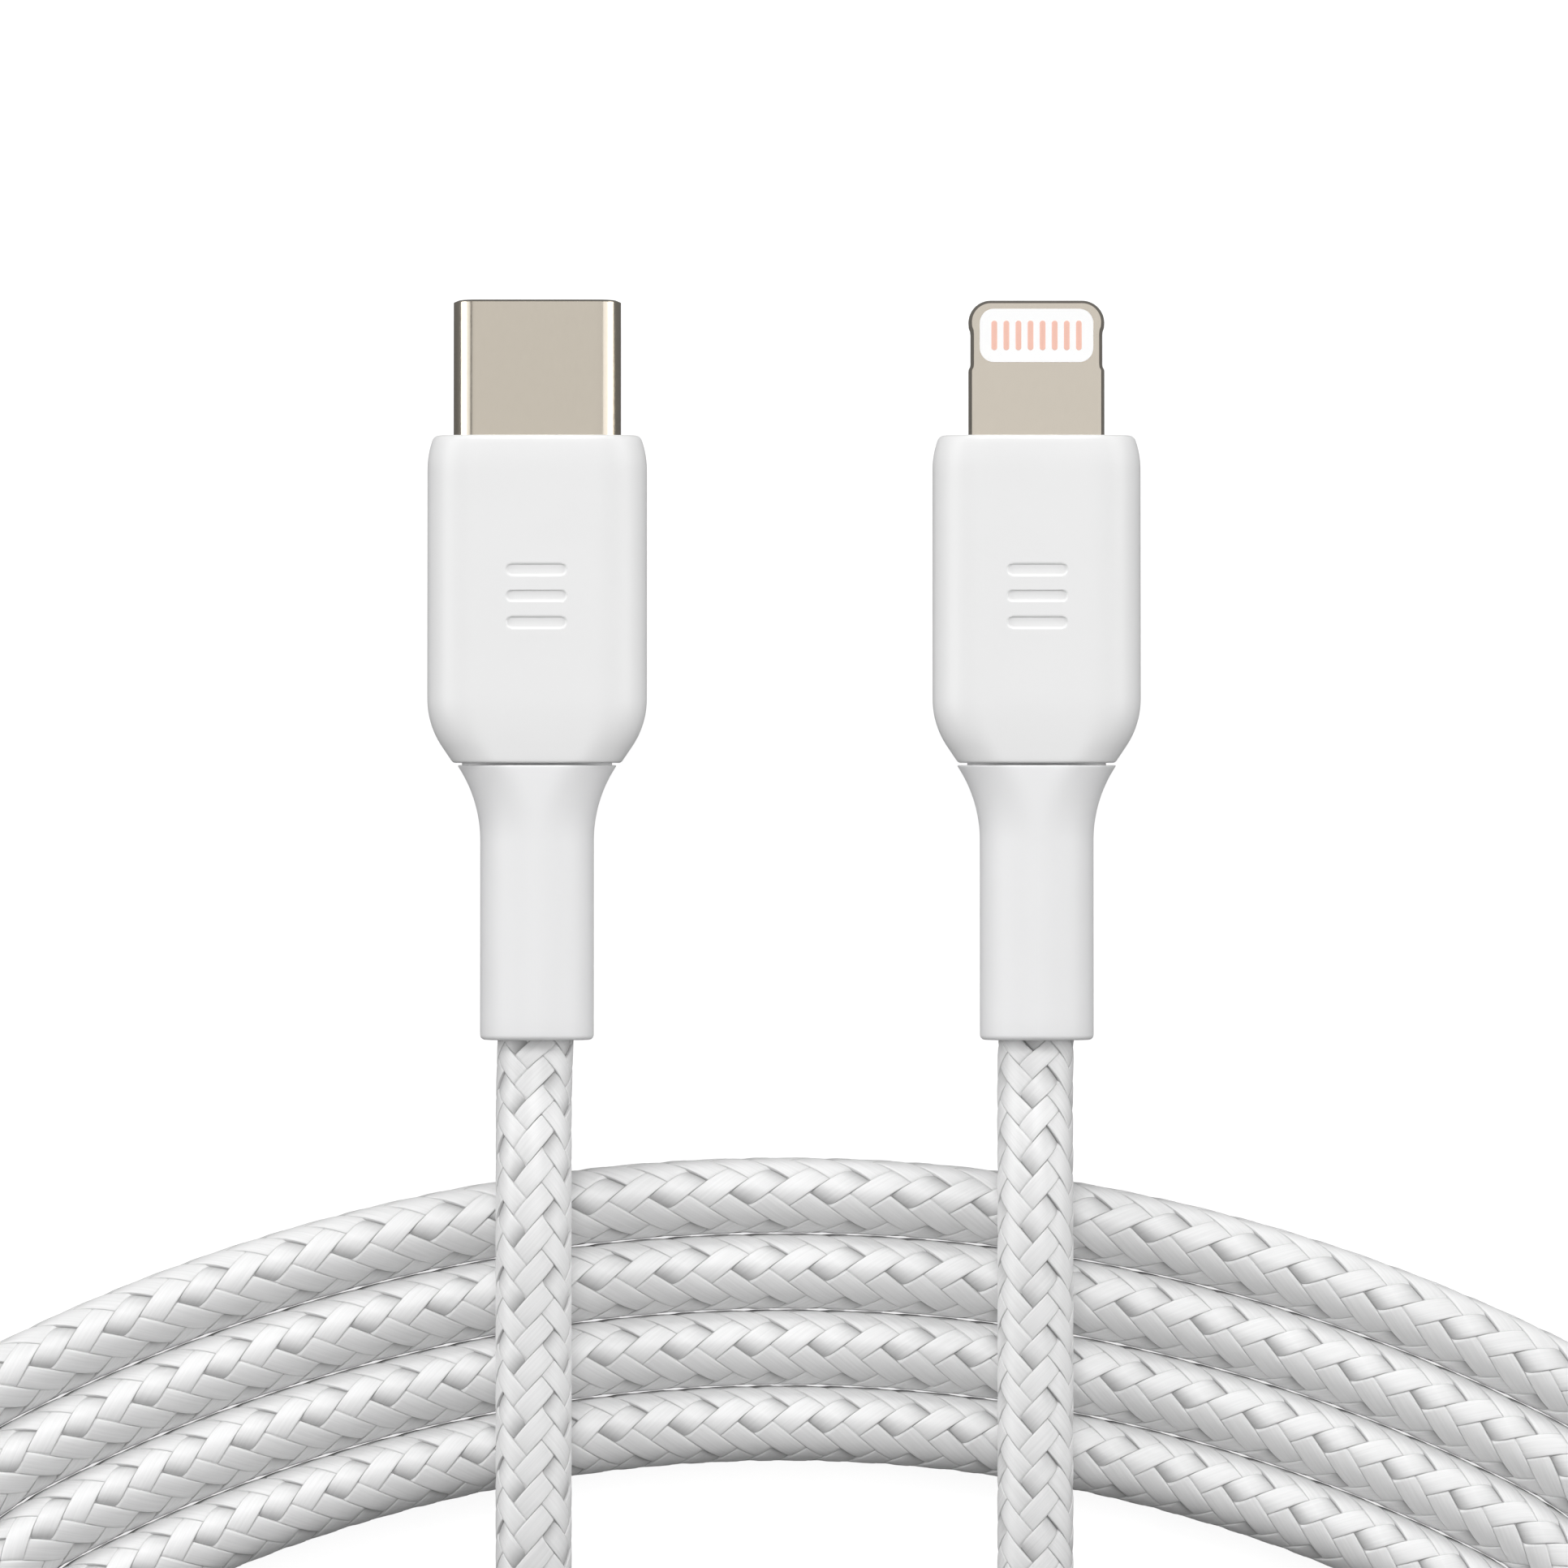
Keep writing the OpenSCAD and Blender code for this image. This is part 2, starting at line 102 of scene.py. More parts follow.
CORD_DIAMETER = 0.00375
TURNS = 4
TOP_RADIUS = 0.0739        # innermost turn, to the middle of the cord
TOP_ANGLE = 27             # degrees that its top arc covers on each side
SIDE_RADIUS = 0.013
TOP_CENTRE = np.array([0, -0.11104])
SIDE_X = (TOP_RADIUS - SIDE_RADIUS) * math.sin(math.radians(TOP_ANGLE))
SIDE_Y = TOP_CENTRE[1] + (TOP_RADIUS - SIDE_RADIUS) * math.cos(math.radians(TOP_ANGLE))
REST_Z = CORD_DIAMETER / 2
BRAID_FRONT = 18 * MM      # the braid ends this far behind the housing's front face, inside the sleeve

# From the oval plug, over the coil, down and round into its innermost turn
ROUTE_CHARGER = [
    (-0.01222, -0.01815, 0.00422), (-0.01224, -0.01865, 0.00424), (-0.0123, -0.021, 0.0046),
    (-0.0123, -0.024, 0.00528), (-0.0123, -0.027, 0.00563), (-0.0123, -0.033, 0.00565),
    (-0.0123, -0.039, 0.00565), (-0.0123, -0.043, 0.00545), (-0.0123, -0.047, 0.00475),
    (-0.01228, -0.051, 0.0036), (-0.01215, -0.055, 0.0025), (-0.0116, -0.0595, 0.00195),
    (-0.00985, -0.0635, 0.00188), (-0.0066, -0.067, 0.00188), (-0.0028, -0.069, 0.00188),
    (0.0018, -0.06978, 0.00188),
]
# From the outermost turn, up over the coil to the tab plug
ROUTE_PHONE = [
    (-0.0398, -0.0778, 0.00188), (-0.0339, -0.0802, 0.0022), (-0.0277, -0.08103, 0.00305),
    (-0.022, -0.08103, 0.0042), (-0.016, -0.08103, 0.0051), (-0.011, -0.08103, 0.00555),
    (-0.006, -0.081, 0.00565), (0.0001, -0.0795, 0.00565), (0.0052, -0.0764, 0.00565),
    (0.0092, -0.072, 0.00565), (0.01155, -0.0665, 0.0056), (0.01232, -0.061, 0.00535),
    (0.01235, -0.055, 0.00505), (0.01235, -0.049, 0.00505), (0.01235, -0.044, 0.0054),
    (0.01235, -0.04, 0.00563), (0.01235, -0.033, 0.00565), (0.01235, -0.027, 0.00563),
    (0.01235, -0.024, 0.00528), (0.01235, -0.021, 0.0046), (0.01239, -0.01865, 0.00424),
    (0.0124, -0.01815, 0.00422),
]


def smooth(t):
    return t * t * (3 - 2 * t)


def arc_points(centre, radius, start, end, first=1, step=1.2 * MM):
    """Points on an arc between two angles in degrees, a step apart. first=1 leaves out the start."""
    count = max(4, round(abs(math.radians(end - start)) * radius / step))
    angles = np.radians(start + (end - start) * np.arange(first, count + 1) / count)
    return [(centre[0] + radius * math.cos(a), centre[1] + radius * math.sin(a), REST_Z) for a in angles]


def coil_points():
    """The turns, innermost first, anticlockwise seen from above. Each moves out along its last straight."""
    points = []
    last_angle = 236           # where the outermost turn starts to climb
    for turn in range(TURNS):
        out = turn * CORD_DIAMETER
        straight_y = SIDE_Y - SIDE_RADIUS - out
        first_x = 0.006 if turn == 0 else 0.001
        points += [(x, straight_y, REST_Z) for x in np.arange(first_x, SIDE_X, 0.001)]
        points += arc_points((SIDE_X, SIDE_Y), SIDE_RADIUS + out, -90, 90 - TOP_ANGLE, first=0)
        points += arc_points(TOP_CENTRE, TOP_RADIUS + out, 90 - TOP_ANGLE, 90 + TOP_ANGLE)
        if turn < TURNS - 1:
            points += arc_points((-SIDE_X, SIDE_Y), SIDE_RADIUS + out, 90 + TOP_ANGLE, 270)
            for x in np.arange(0.001 - SIDE_X, 0, 0.001):
                points.append((x, straight_y - CORD_DIAMETER * smooth(1 + x / SIDE_X), REST_Z))
        else:
            points += arc_points((-SIDE_X, SIDE_Y), SIDE_RADIUS + out, 90 + TOP_ANGLE, last_angle)
    return points


def curve_through(points, spacing):
    """Points a spacing apart on a smooth curve through the given ones."""
    p = np.array(points, float)
    gap = np.linalg.norm(np.diff(p, axis=0), axis=1)[:, None]
    slope = np.empty_like(p)
    steps = np.diff(p, axis=0) / gap
    slope[0], slope[-1] = steps[0], steps[-1]
    slope[1:-1] = (gap[1:] * steps[:-1] + gap[:-1] * steps[1:]) / (gap[1:] + gap[:-1])
    pieces = []
    for t in np.arange(0, 1, 1 / 12):
        pieces.append(
            (2 * t**3 - 3 * t**2 + 1) * p[:-1] + (t**3 - 2 * t**2 + t) * gap * slope[:-1]
            + (3 * t**2 - 2 * t**3) * p[1:] + (t**3 - t**2) * gap * slope[1:]
        )
    dense = np.vstack([np.stack(pieces, 1).reshape(-1, 3), p[-1:]])
    along = np.concatenate([[0], np.cumsum(np.linalg.norm(np.diff(dense, axis=0), axis=1))])
    count = round(along[-1] / spacing)
    wanted = np.linspace(0, along[-1], count + 1)
    return np.stack([np.interp(wanted, along, dense[:, k]) for k in range(3)], 1), wanted


def inside_sleeve(plug):
    """Points on the plug's axis from the end of the braid to just before the sleeve's mouth."""
    return [tuple(plug @ Vector((0, -y, 0))) for y in np.linspace(BRAID_FRONT, SLEEVE_END - 1 * MM, 6)]


path_points = inside_sleeve(charger) + ROUTE_CHARGER + coil_points() + ROUTE_PHONE
path_points += inside_sleeve(phone)[::-1]
path, path_s = curve_through(path_points, 0.25 * MM)
tangent = np.gradient(path, axis=0)
tangent /= np.linalg.norm(tangent, axis=1)[:, None]
side = np.cross(tangent, (0, 0, 1))
side /= np.linalg.norm(side, axis=1)[:, None]
up = np.cross(side, tangent)

# ---------- how the braid runs along the cord ----------

STRANDS = 8                # in each of the two families
STEP_ANGLE = math.radians(360 / STRANDS)
LEAD_SPACING = 1.55 * MM   # between neighbouring strands of one family, along the cord
COIL_SPACING_ANGLE = math.radians(1.335)   # the same on a turn, as an angle round the turn
# How far the braid is turned round the cord on the first lead, on the coil and on the second lead
LEAD_TURNS = (math.radians(35.2), math.radians(27.3))
COIL_TURN = math.radians(61.3)
# Where the braid's phase is held, as (y of a place on the lead, phase there)
LEAD_PHASES = ((-21.03 * MM, 0.25), (-20.83 * MM, 0.75))
COIL_PHASE_ANGLE = math.radians(93.45)     # and on every turn, at this angle round its top arc
COIL_PHASE = 0.25
# Where each lead's braid changes to the coil's
LEAD_FROM_Y = -0.066
LEAD_FADE = 0.020          # length of the change
LEAD_SEEN_Y = -0.045       # past this, the lead's phase is held
COIL_KNOWN_Y = -0.056      # past this, a place's turn is read from its distance to TOP_CENTRE
COIL_SEEN_Y = -0.0465      # past this, the coil's phase is held


def held_phase(phase, stretches):
    """The phase, moved by one strand at most on each stretch, so that one place there has the wanted one."""
    places, moves = [], []
    move = 0.0
    for first, last, place, wanted in stretches:
        error = (wanted - phase[place] - move + 1) % 2 - 1
        move += error
        places += [first, last]
        moves += [move, move]
    return phase + np.interp(np.arange(len(phase)), places, moves)


def braid_along_path():
    """For each place on the path: phase in strands, turn round the cord, strand spacing, share of lead 2."""
    x, y = path[:, 0], path[:, 1]
    count = len(path)
    middle = count // 2
    index = np.arange(count)
    fade = smooth(np.clip((y - LEAD_FROM_Y) / LEAD_FADE, 0, 1))
    low = np.flatnonzero(y < LEAD_FROM_Y)
    lead_one = np.where(index < low[low < middle][0], fade, 0)
    lead_two = np.where(index > low[low > middle][-1], fade, 0)
    on_lead = lead_one + lead_two
    radius = np.hypot(x - TOP_CENTRE[0], y - TOP_CENTRE[1])
    turn = np.clip(np.round((radius - TOP_RADIUS) / CORD_DIAMETER), 0, TURNS - 1)
    # The distance from TOP_CENTRE tells the turns apart, exactly on the top arcs alone. Past them the outer
    # turns are taken for inner ones, and their spacing there is up to 13% closer than on their top arcs.
    known = np.flatnonzero((y > COIL_KNOWN_Y) & (on_lead < 0.01))
    turn_all = np.interp(index, known, turn[known])
    coil_spacing = (TOP_RADIUS + turn_all * CORD_DIAMETER) * COIL_SPACING_ANGLE
    gap = on_lead * LEAD_SPACING + (1 - on_lead) * coil_spacing
    # measured flat, so that the braid looks even from above where the cord climbs
    step = np.hypot(np.diff(x, prepend=x[0]), np.diff(y, prepend=y[0]))
    plain = np.cumsum(step / gap)
    top = (y > COIL_SEEN_Y) & (on_lead < 0.01)
    starts = np.flatnonzero(top & ~np.roll(top, 1))
    ends = np.flatnonzero(top & ~np.roll(top, -1))
    angle = np.arctan2(y - TOP_CENTRE[1], x)
    leads = np.flatnonzero((y > LEAD_SEEN_Y) & (on_lead > 0.99))
    first_lead, second_lead = leads[leads < middle], leads[leads > middle]
    stretches = []
    for part, (where, wanted) in zip((first_lead, second_lead), LEAD_PHASES):
        place = part[np.argmin(np.abs(y[part] - where))]
        stretches.append((part[0], part[-1], place, wanted))
    for first, last in zip(starts, ends):
        part = np.arange(first, last + 1)
        place = part[np.argmin(np.abs(angle[part] - COIL_PHASE_ANGLE))]
        stretches.insert(-1, (first, last, place, COIL_PHASE))
    turned = lead_one * LEAD_TURNS[0] + lead_two * LEAD_TURNS[1] + (1 - on_lead) * COIL_TURN
    return held_phase(plain, stretches), turned, gap, lead_two


phase, turned, spacing, on_second_lead = braid_along_path()

# A strand lies over two others and under two. Depths are below the crest of its float.
END_DROP = 0.05 * MM       # at the end of a float
DEEP_END_DROP = 0.16 * MM  # the same for every other strand of one family
UNDER_DROP = 0.1 * MM      # and this much more where it runs under
COVER = 0.985              # share of the spacing that a strand's width takes up
EDGE_DROP = 0.03 * MM      # from a strand's middle to its edge
STRAND_RADIUS = CORD_DIAMETER / 2
STRAND_THICKNESS = 0.24 * MM
TOP_ACROSS = (-1, -0.93, -0.8, -0.4, 0, 0.4, 0.8, 0.93, 1)
UNDER_ACROSS = (1.04, -1.04)   # its underside is a little wider, so that no gap shows beside it
EDGE_ACROSS = 0.97         # past this it counts as the strand's edge, which gets painted shade
EDGE_POWER = 12
FLOAT_SHIFT = 0.25         # middle of a float of the first family, in strands
DIVE_START = 0.92          # where a strand starts to go under, in halves of a float from its middle
DIVE_LENGTH = 0.2          # and over how much it goes
PAINTED_SHADE_PLAIN_END = 0.2           # painted shade at the end of a plain strand's float, where a deep one's is 1
# Places along a strand: 0 is the middle of a float, 1 its end and 2 the middle of the stretch that runs under
ALONG = (0, 0.4, 0.7, 0.86, 0.93, 0.98, 1.04, 1.1, 1.4, 2)


def at(values, s):
    """values given along the path, read at other lengths along it."""
    if values.ndim == 1:
        return np.interp(s, path_s, values)
    return np.stack([np.interp(s, path_s, values[..., k]) for k in range(values.shape[-1])], -1)


def strand_surface(number, family):
    """Rings of points along one strand, how much painted shade each gets for being sunk, whether it is on an
    edge (which gets painted shade too), and its two map places.

    family is 1 or -1 for the two ways round.
    """
    shift = FLOAT_SHIFT if family == 1 else FLOAT_SHIFT + 1
    steps = np.array(sorted({-x / 2 for x in ALONG[:-1]} | {x / 2 for x in ALONG}))
    first, last = sorted((number + family * phase[0], number + family * phase[-1]))
    cycles = np.arange(math.ceil((first - shift) / 2) + 1, math.floor((last - shift) / 2))
    wanted = (shift + 2 * cycles[:, None] + steps[None, :]).ravel()[::family]
    s_middle = np.interp(family * (wanted - number), phase, path_s)[:, None]
    gap = at(spacing, s_middle)
    arc = STRAND_RADIUS * STEP_ANGLE
    size = np.hypot(gap, arc)
    half_width = COVER * arc * gap / size / 2
    across = np.array(TOP_ACROSS + UNDER_ACROSS)[None, :]
    offset_u = across * half_width * gap / size / arc
    offset_v = across * half_width * arc / size / gap
    # each row of points runs the way of the other family's strands
    s = s_middle - family * (offset_u - offset_v) / 2 * gap
    centre_u = number + family * at(phase, s)
    s_here = np.clip(s - family * across * half_width * arc / size, 0, path_s[-1])
    reach = 2 * np.abs((wanted[:, None] - shift + 1) % 2 - 1)
    share = at(on_second_lead, s)
    deep = (number % 2 == 0) * (1 - share if family == 1 else share)
    end_drop = END_DROP + (DEEP_END_DROP - END_DROP) * deep
    dive = smooth(np.clip((reach - DIVE_START) / DIVE_LENGTH, 0, 1))
    sunk = end_drop * np.minimum(reach, 1) ** (2 + deep) + UNDER_DROP * dive
    is_top = np.arange(across.size) < len(TOP_ACROSS)
    profile = np.where(is_top, EDGE_DROP * np.abs(across) ** EDGE_POWER, STRAND_THICKNESS)
    radius = STRAND_RADIUS - sunk - profile
    theta = at(turned, s_here) + (centre_u + offset_u) * STEP_ANGLE
    points = at(path, s_here) + radius[..., None] * (
        np.cos(theta)[..., None] * at(side, s_here) + np.sin(theta)[..., None] * at(up, s_here)
    )
    # Painted shade, darkest at the ends of the floats where the strand dives under, and most on the deep
    # strands.
    painted_shade_share = (PAINTED_SHADE_PLAIN_END + (1 - PAINTED_SHADE_PLAIN_END) * deep) * np.minimum(reach, 1) ** 2
    # The edges get painted shade as well, which draws dark hairlines between neighbouring strands.
    edge = np.broadcast_to(np.abs(across) > EDGE_ACROSS, sunk.shape)
    return points, painted_shade_share, edge, s, np.broadcast_to(across * half_width, sunk.shape)


# ---------- meshes ----------


def finish_mesh(name, mesh, material, body="cable", sharp_angle=None):
    mesh.materials.append(material)
    mesh.polygons.foreach_set("use_smooth", [True] * len(mesh.polygons))
    if sharp_angle:
        mesh.set_sharp_from_angle(angle=math.radians(sharp_angle))
    piece = bpy.data.objects.new(name, mesh)
    scene.collection.objects.link(piece)
    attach(piece, body)
    return piece


def quad_mesh(name, points, faces):
    """A mesh made of quads, quickly."""
    mesh = bpy.data.meshes.new(name)
    mesh.vertices.add(len(points))
    mesh.vertices.foreach_set("co", np.asarray(points, np.float32).ravel())
    mesh.loops.add(len(faces) * 4)
    mesh.loops.foreach_set("vertex_index", np.asarray(faces, np.int32).ravel())
    mesh.polygons.add(len(faces))
    mesh.polygons.foreach_set("loop_start", np.arange(len(faces), dtype=np.int32) * 4)
    mesh.update(calc_edges=True)
    mesh.validate()
    return mesh


def grid_faces(rows, columns):
    """Quads of a tube whose rings are rows of a grid, as one array."""
    here = np.arange(rows - 1)[:, None] * columns + np.arange(columns)[None, :]
    right = np.arange(rows - 1)[:, None] * columns + (np.arange(columns)[None, :] + 1) % columns
    return np.stack([here, here + columns, right + columns, right], -1).reshape(-1, 4)


# ---------- materials ----------

MOULD_DEPTH = 0.002 * MM
SCRATCH_SPECK = 900
SCRATCH_STRETCH = (40, 1, 40)
SCRATCH_DEPTH = 0.0006 * MM
FILAMENT_SPECK = 9.0       # noise scale on the strand's own map, which is in millimetres
FILAMENT_STRETCH = (1, 0.04, 1)
FILAMENT_SHADES = (0.88, 1.08)
FILAMENT_DEPTH = 0.006 * MM
PAINTED_SHADE_DARKEST = 0.5           # share of the colour left by the painted shade at a strand's most sunk place or on its edge


def new_material(name, colour, roughness, metallic=0.0):
    material = bpy.data.materials.new(name)
    material.use_nodes = True
    shader = material.node_tree.nodes["Principled BSDF"]
    shader.inputs["Base Color"].default_value = (*colour, 1)
    shader.inputs["Roughness"].default_value = roughness
    shader.inputs["Metallic"].default_value = metallic
    return material, shader


def add_node(material, kind, **inputs):
    node = material.node_tree.nodes.new(kind)
    for key, value in inputs.items():
        if hasattr(node, key):
            setattr(node, key, value)
        else:
            node.inputs[key.replace("_", " ")].default_value = value
    return node


def link(material, source, target):
    material.node_tree.links.new(source, target)


def grain(material, scale, stretch=(1, 1, 1), detail=3.0):
    """A noise texture in the piece's own place, with 1/scale metres to a speck."""
    where = add_node(material, "ShaderNodeTexCoord")
    mapping = add_node(material, "ShaderNodeMapping")
    mapping.inputs["Scale"].default_value = stretch
    link(material, where.outputs["Object"], mapping.inputs["Vector"])
    noise = add_node(material, "ShaderNodeTexNoise", Scale=scale, Detail=detail)
    link(material, mapping.outputs["Vector"], noise.inputs["Vector"])
    return noise.outputs["Fac"]


def ramp(material, value, low, high):
    """value from 0 to 1 turned into low to high."""
    node = add_node(material, "ShaderNodeMapRange")
    node.inputs["To Min"].default_value = low
    node.inputs["To Max"].default_value = high
    link(material, value, node.inputs["Value"])
    return node.outputs["Result"]


def tint(material, shader, colour, dark, value):
    """Base colour between dark x colour and colour, by value."""
    mix = add_node(material, "ShaderNodeMix", data_type="RGBA")
    colours = [s for s in mix.inputs if s.type == "RGBA"]
    colours[0].default_value = (*[c * dark for c in colour], 1)
    colours[1].default_value = (*colour, 1)
    link(material, value, mix.inputs["Factor"])
    result = [s for s in mix.outputs if s.type == "RGBA"][0]
    link(material, result, shader.inputs["Base Color"])
    return result


def bump(material, shader, value, depth):
    node = add_node(material, "ShaderNodeBump")
    node.inputs["Strength"].default_value = 1
    node.inputs["Distance"].default_value = depth
    link(material, value, node.inputs["Height"])
    link(material, node.outputs["Normal"], shader.inputs["Normal"])


def moulded_plastic(name, colour, roughness, speck=9000):
    """Injection-moulded plastic: a fine spark-eroded texture and a faint drift of colour and gloss."""
    material, shader = new_material(name, colour, roughness)
    fine = grain(material, speck)
    broad = grain(material, 260, detail=2.0)
    tint(material, shader, colour, 0.975, broad)
    link(material, ramp(material, broad, roughness * 0.9, roughness * 1.12), shader.inputs["Roughness"])
    bump(material, shader, fine, MOULD_DEPTH)
    return material


def brushed_metal(name, colour, roughness, metallic=1.0):
    """Drawn or rolled metal: long scratches one way and a faint drift of gloss."""
    material, shader = new_material(name, colour, roughness, metallic=metallic)
    scratches = grain(material, SCRATCH_SPECK, SCRATCH_STRETCH)
    tint(material, shader, colour, 0.94, scratches)
    link(material, ramp(material, scratches, roughness * 0.8, roughness * 1.2), shader.inputs["Roughness"])
    bump(material, shader, scratches, SCRATCH_DEPTH)
    return material


def braid_material(name, colour):
    """Flat bundles of shiny filaments that run along the strand, with painted shade where it is sunk and
    along its edges.
    """
    material, shader = new_material(name, colour, 0.45)
    shader.inputs["Specular IOR Level"].default_value = 0.9
    shader.inputs["Anisotropic"].default_value = 0.75
    along = add_node(material, "ShaderNodeTangent", direction_type="UV_MAP", uv_map="strand")
    link(material, along.outputs["Tangent"], shader.inputs["Tangent"])
    where = add_node(material, "ShaderNodeUVMap", uv_map="strand")
    mapping = add_node(material, "ShaderNodeMapping")
    mapping.inputs["Scale"].default_value = FILAMENT_STRETCH
    link(material, where.outputs["UV"], mapping.inputs["Vector"])
    filaments = add_node(material, "ShaderNodeTexNoise", Scale=FILAMENT_SPECK, Detail=2.0)
    link(material, mapping.outputs["Vector"], filaments.inputs["Vector"])
    # Painted shade: a darker colour where the strand is sunk and on its edges, standing for the shade between
    # strands.
    sunk = add_node(material, "ShaderNodeAttribute", attribute_name="sunk")
    edge = add_node(material, "ShaderNodeAttribute", attribute_name="edge")
    open_share = add_node(material, "ShaderNodeMath", operation="MULTIPLY")
    link(material, ramp(material, sunk.outputs["Fac"], 1, 0), open_share.inputs[0])
    link(material, ramp(material, edge.outputs["Fac"], 1, PAINTED_SHADE_DARKEST), open_share.inputs[1])
    shade = tint(material, shader, colour, PAINTED_SHADE_DARKEST, open_share.outputs[0])
    lines = add_node(material, "ShaderNodeMix", data_type="RGBA", blend_type="MULTIPLY")
    factor, first, second = lines.inputs["Factor"], *[s for s in lines.inputs if s.type == "RGBA"]
    factor.default_value = 1
    link(material, shade, first)
    link(material, ramp(material, filaments.outputs["Fac"], *FILAMENT_SHADES), second)
    link(material, [s for s in lines.outputs if s.type == "RGBA"][0], shader.inputs["Base Color"])
    bump(material, shader, filaments.outputs["Fac"], FILAMENT_DEPTH)
    return material


white_plastic = moulded_plastic("white_plastic", (0.86, 0.86, 0.86), 0.4)
sleeve_rubber = moulded_plastic("sleeve_rubber", (0.86, 0.86, 0.865), 0.48, speck=14000)
shell_steel = brushed_metal("shell_steel", (0.805, 0.733, 0.625), 0.2)
tab_steel = brushed_metal("tab_steel", (0.86, 0.785, 0.678), 0.22)
black_plastic = moulded_plastic("black_plastic", (0.02, 0.02, 0.022), 0.5)
gold = brushed_metal("gold", (0.86, 0.62, 0.27), 0.25)
spring_steel = brushed_metal("spring_steel", (0.62, 0.62, 0.63), 0.3)
white_carrier = moulded_plastic("white_carrier", (1, 1, 1), 0.3)
pad_metal = brushed_metal("pad_metal", (0.94, 0.57, 0.47), 0.45, metallic=0.3)
board_mask = moulded_plastic("board_mask", (0.015, 0.12, 0.05), 0.35)
chip_resin = moulded_plastic("chip_resin", (0.02, 0.02, 0.022), 0.55)
solder_ends = moulded_plastic("solder_ends", (0.42, 0.35, 0.28), 0.5)
can_steel = brushed_metal("can_steel", (0.6, 0.61, 0.62), 0.32)
cream_mould = moulded_plastic("cream_mould", (0.72, 0.71, 0.66), 0.5)
red_wire = moulded_plastic("red_wire", (0.5, 0.02, 0.015), 0.35)
green_wire = moulded_plastic("green_wire", (0.03, 0.2, 0.06), 0.35)
core_rubber = moulded_plastic("core_rubber", (0.55, 0.55, 0.55), 0.6)
braid_white = braid_material("braid_white", (0.86, 0.86, 0.86))

# ---------- the cord: a core tube with sixteen strands woven over it ----------

CORE_RADIUS = 1.45 * MM
CORE_SIDES = 16
CORE_EVERY = 3             # the core has a ring at every third place of the path
MAP_STEP = 7.3             # millimetres that the strands' maps are moved apart, so that no two look alike
MAP_FAMILY_STEP = 3.1


def make_core():
    keep = np.arange(0, len(path), CORE_EVERY)
    turn = np.linspace(0, 2 * math.pi, CORE_SIDES, endpoint=False)
    rings = path[keep, None] + CORE_RADIUS * (
        np.cos(turn)[None, :, None] * side[keep, None] + np.sin(turn)[None, :, None] * up[keep, None]
    )
    mesh = quad_mesh("cord_core", rings.reshape(-1, 3), grid_faces(len(keep), CORE_SIDES))
    ends = bmesh.new()
    ends.from_mesh(mesh)
    bmesh.ops.holes_fill(ends, edges=[e for e in ends.edges if e.is_boundary], sides=CORE_SIDES)
    ends.to_mesh(mesh)
    ends.free()
    return finish_mesh("cord_core", mesh, core_rubber), path[keep]


def make_strand(number, family):
    points, sunk, edge, s, across = strand_surface(number, family)
    rows, columns = sunk.shape
    name = f"braid_{'left' if family > 0 else 'right'}_{number + 1}"
    faces = grid_faces(rows, columns)
    mesh = quad_mesh(name, points.reshape(-1, 3), faces)
    # These two attributes carry the painted shade to the braid's material.
    for key, values in (("sunk", sunk), ("edge", edge)):
        attribute = mesh.attributes.new(key, "FLOAT", "POINT")
        attribute.data.foreach_set("value", values.ravel().astype(np.float32))
    layer = mesh.uv_layers.new(name="strand")
    place = np.stack([across, s], -1).reshape(-1, 2) / MM
    place += number * MAP_STEP + family * MAP_FAMILY_STEP
    loops = np.empty(len(mesh.loops), np.int32)
    mesh.loops.foreach_get("vertex_index", loops)
    layer.data.foreach_set("uv", place[loops].ravel().astype(np.float32))
    ends = bmesh.new()
    ends.from_mesh(mesh)
    bmesh.ops.holes_fill(ends, edges=[e for e in ends.edges if e.is_boundary], sides=columns)
    ends.to_mesh(mesh)
    ends.free()
    return finish_mesh(name, mesh, braid_white)


core, core_line = make_core()
strands = [make_strand(number, family) for family in (1, -1) for number in range(STRANDS)]
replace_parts(strands[0], "cord_lead_charger", "cord_lead_phone", "cord_coil")
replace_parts(strands[1], "charger_braid_end", "phone_braid_end")

# ---------- shapes that the two plugs share ----------


def rounded_ring(width, height, radius, y, per_side=24, per_corner=10, per_end=6):
    """Points round a rounded rectangle in x and z, at one y of the plug."""
    radius = min(radius, width / 2 - 1e-6, height / 2 - 1e-6)
    half_w, half_h = width / 2 - radius, height / 2 - radius
    corners = ((half_w, -half_h, -90), (half_w, half_h, 0), (-half_w, half_h, 90), (-half_w, -half_h, 180))
    straight = (per_end, per_side, per_end, per_side)
    points = []
    for k, (x, z, start) in enumerate(corners):
        for a in np.radians(start + np.linspace(0, 90, per_corner)):
            points.append((x + radius * math.cos(a), y, z + radius * math.sin(a)))
        next_x, next_z, next_start = corners[(k + 1) % 4]
        a = math.radians(next_start)
        end = (next_x + radius * math.cos(a), next_z + radius * math.sin(a))
        from_x, _, from_z = points[-1]
        for t in np.arange(1, straight[k]) / straight[k]:
            points.append((from_x + (end[0] - from_x) * t, y, from_z + (end[1] - from_z) * t))
    return np.array(points)


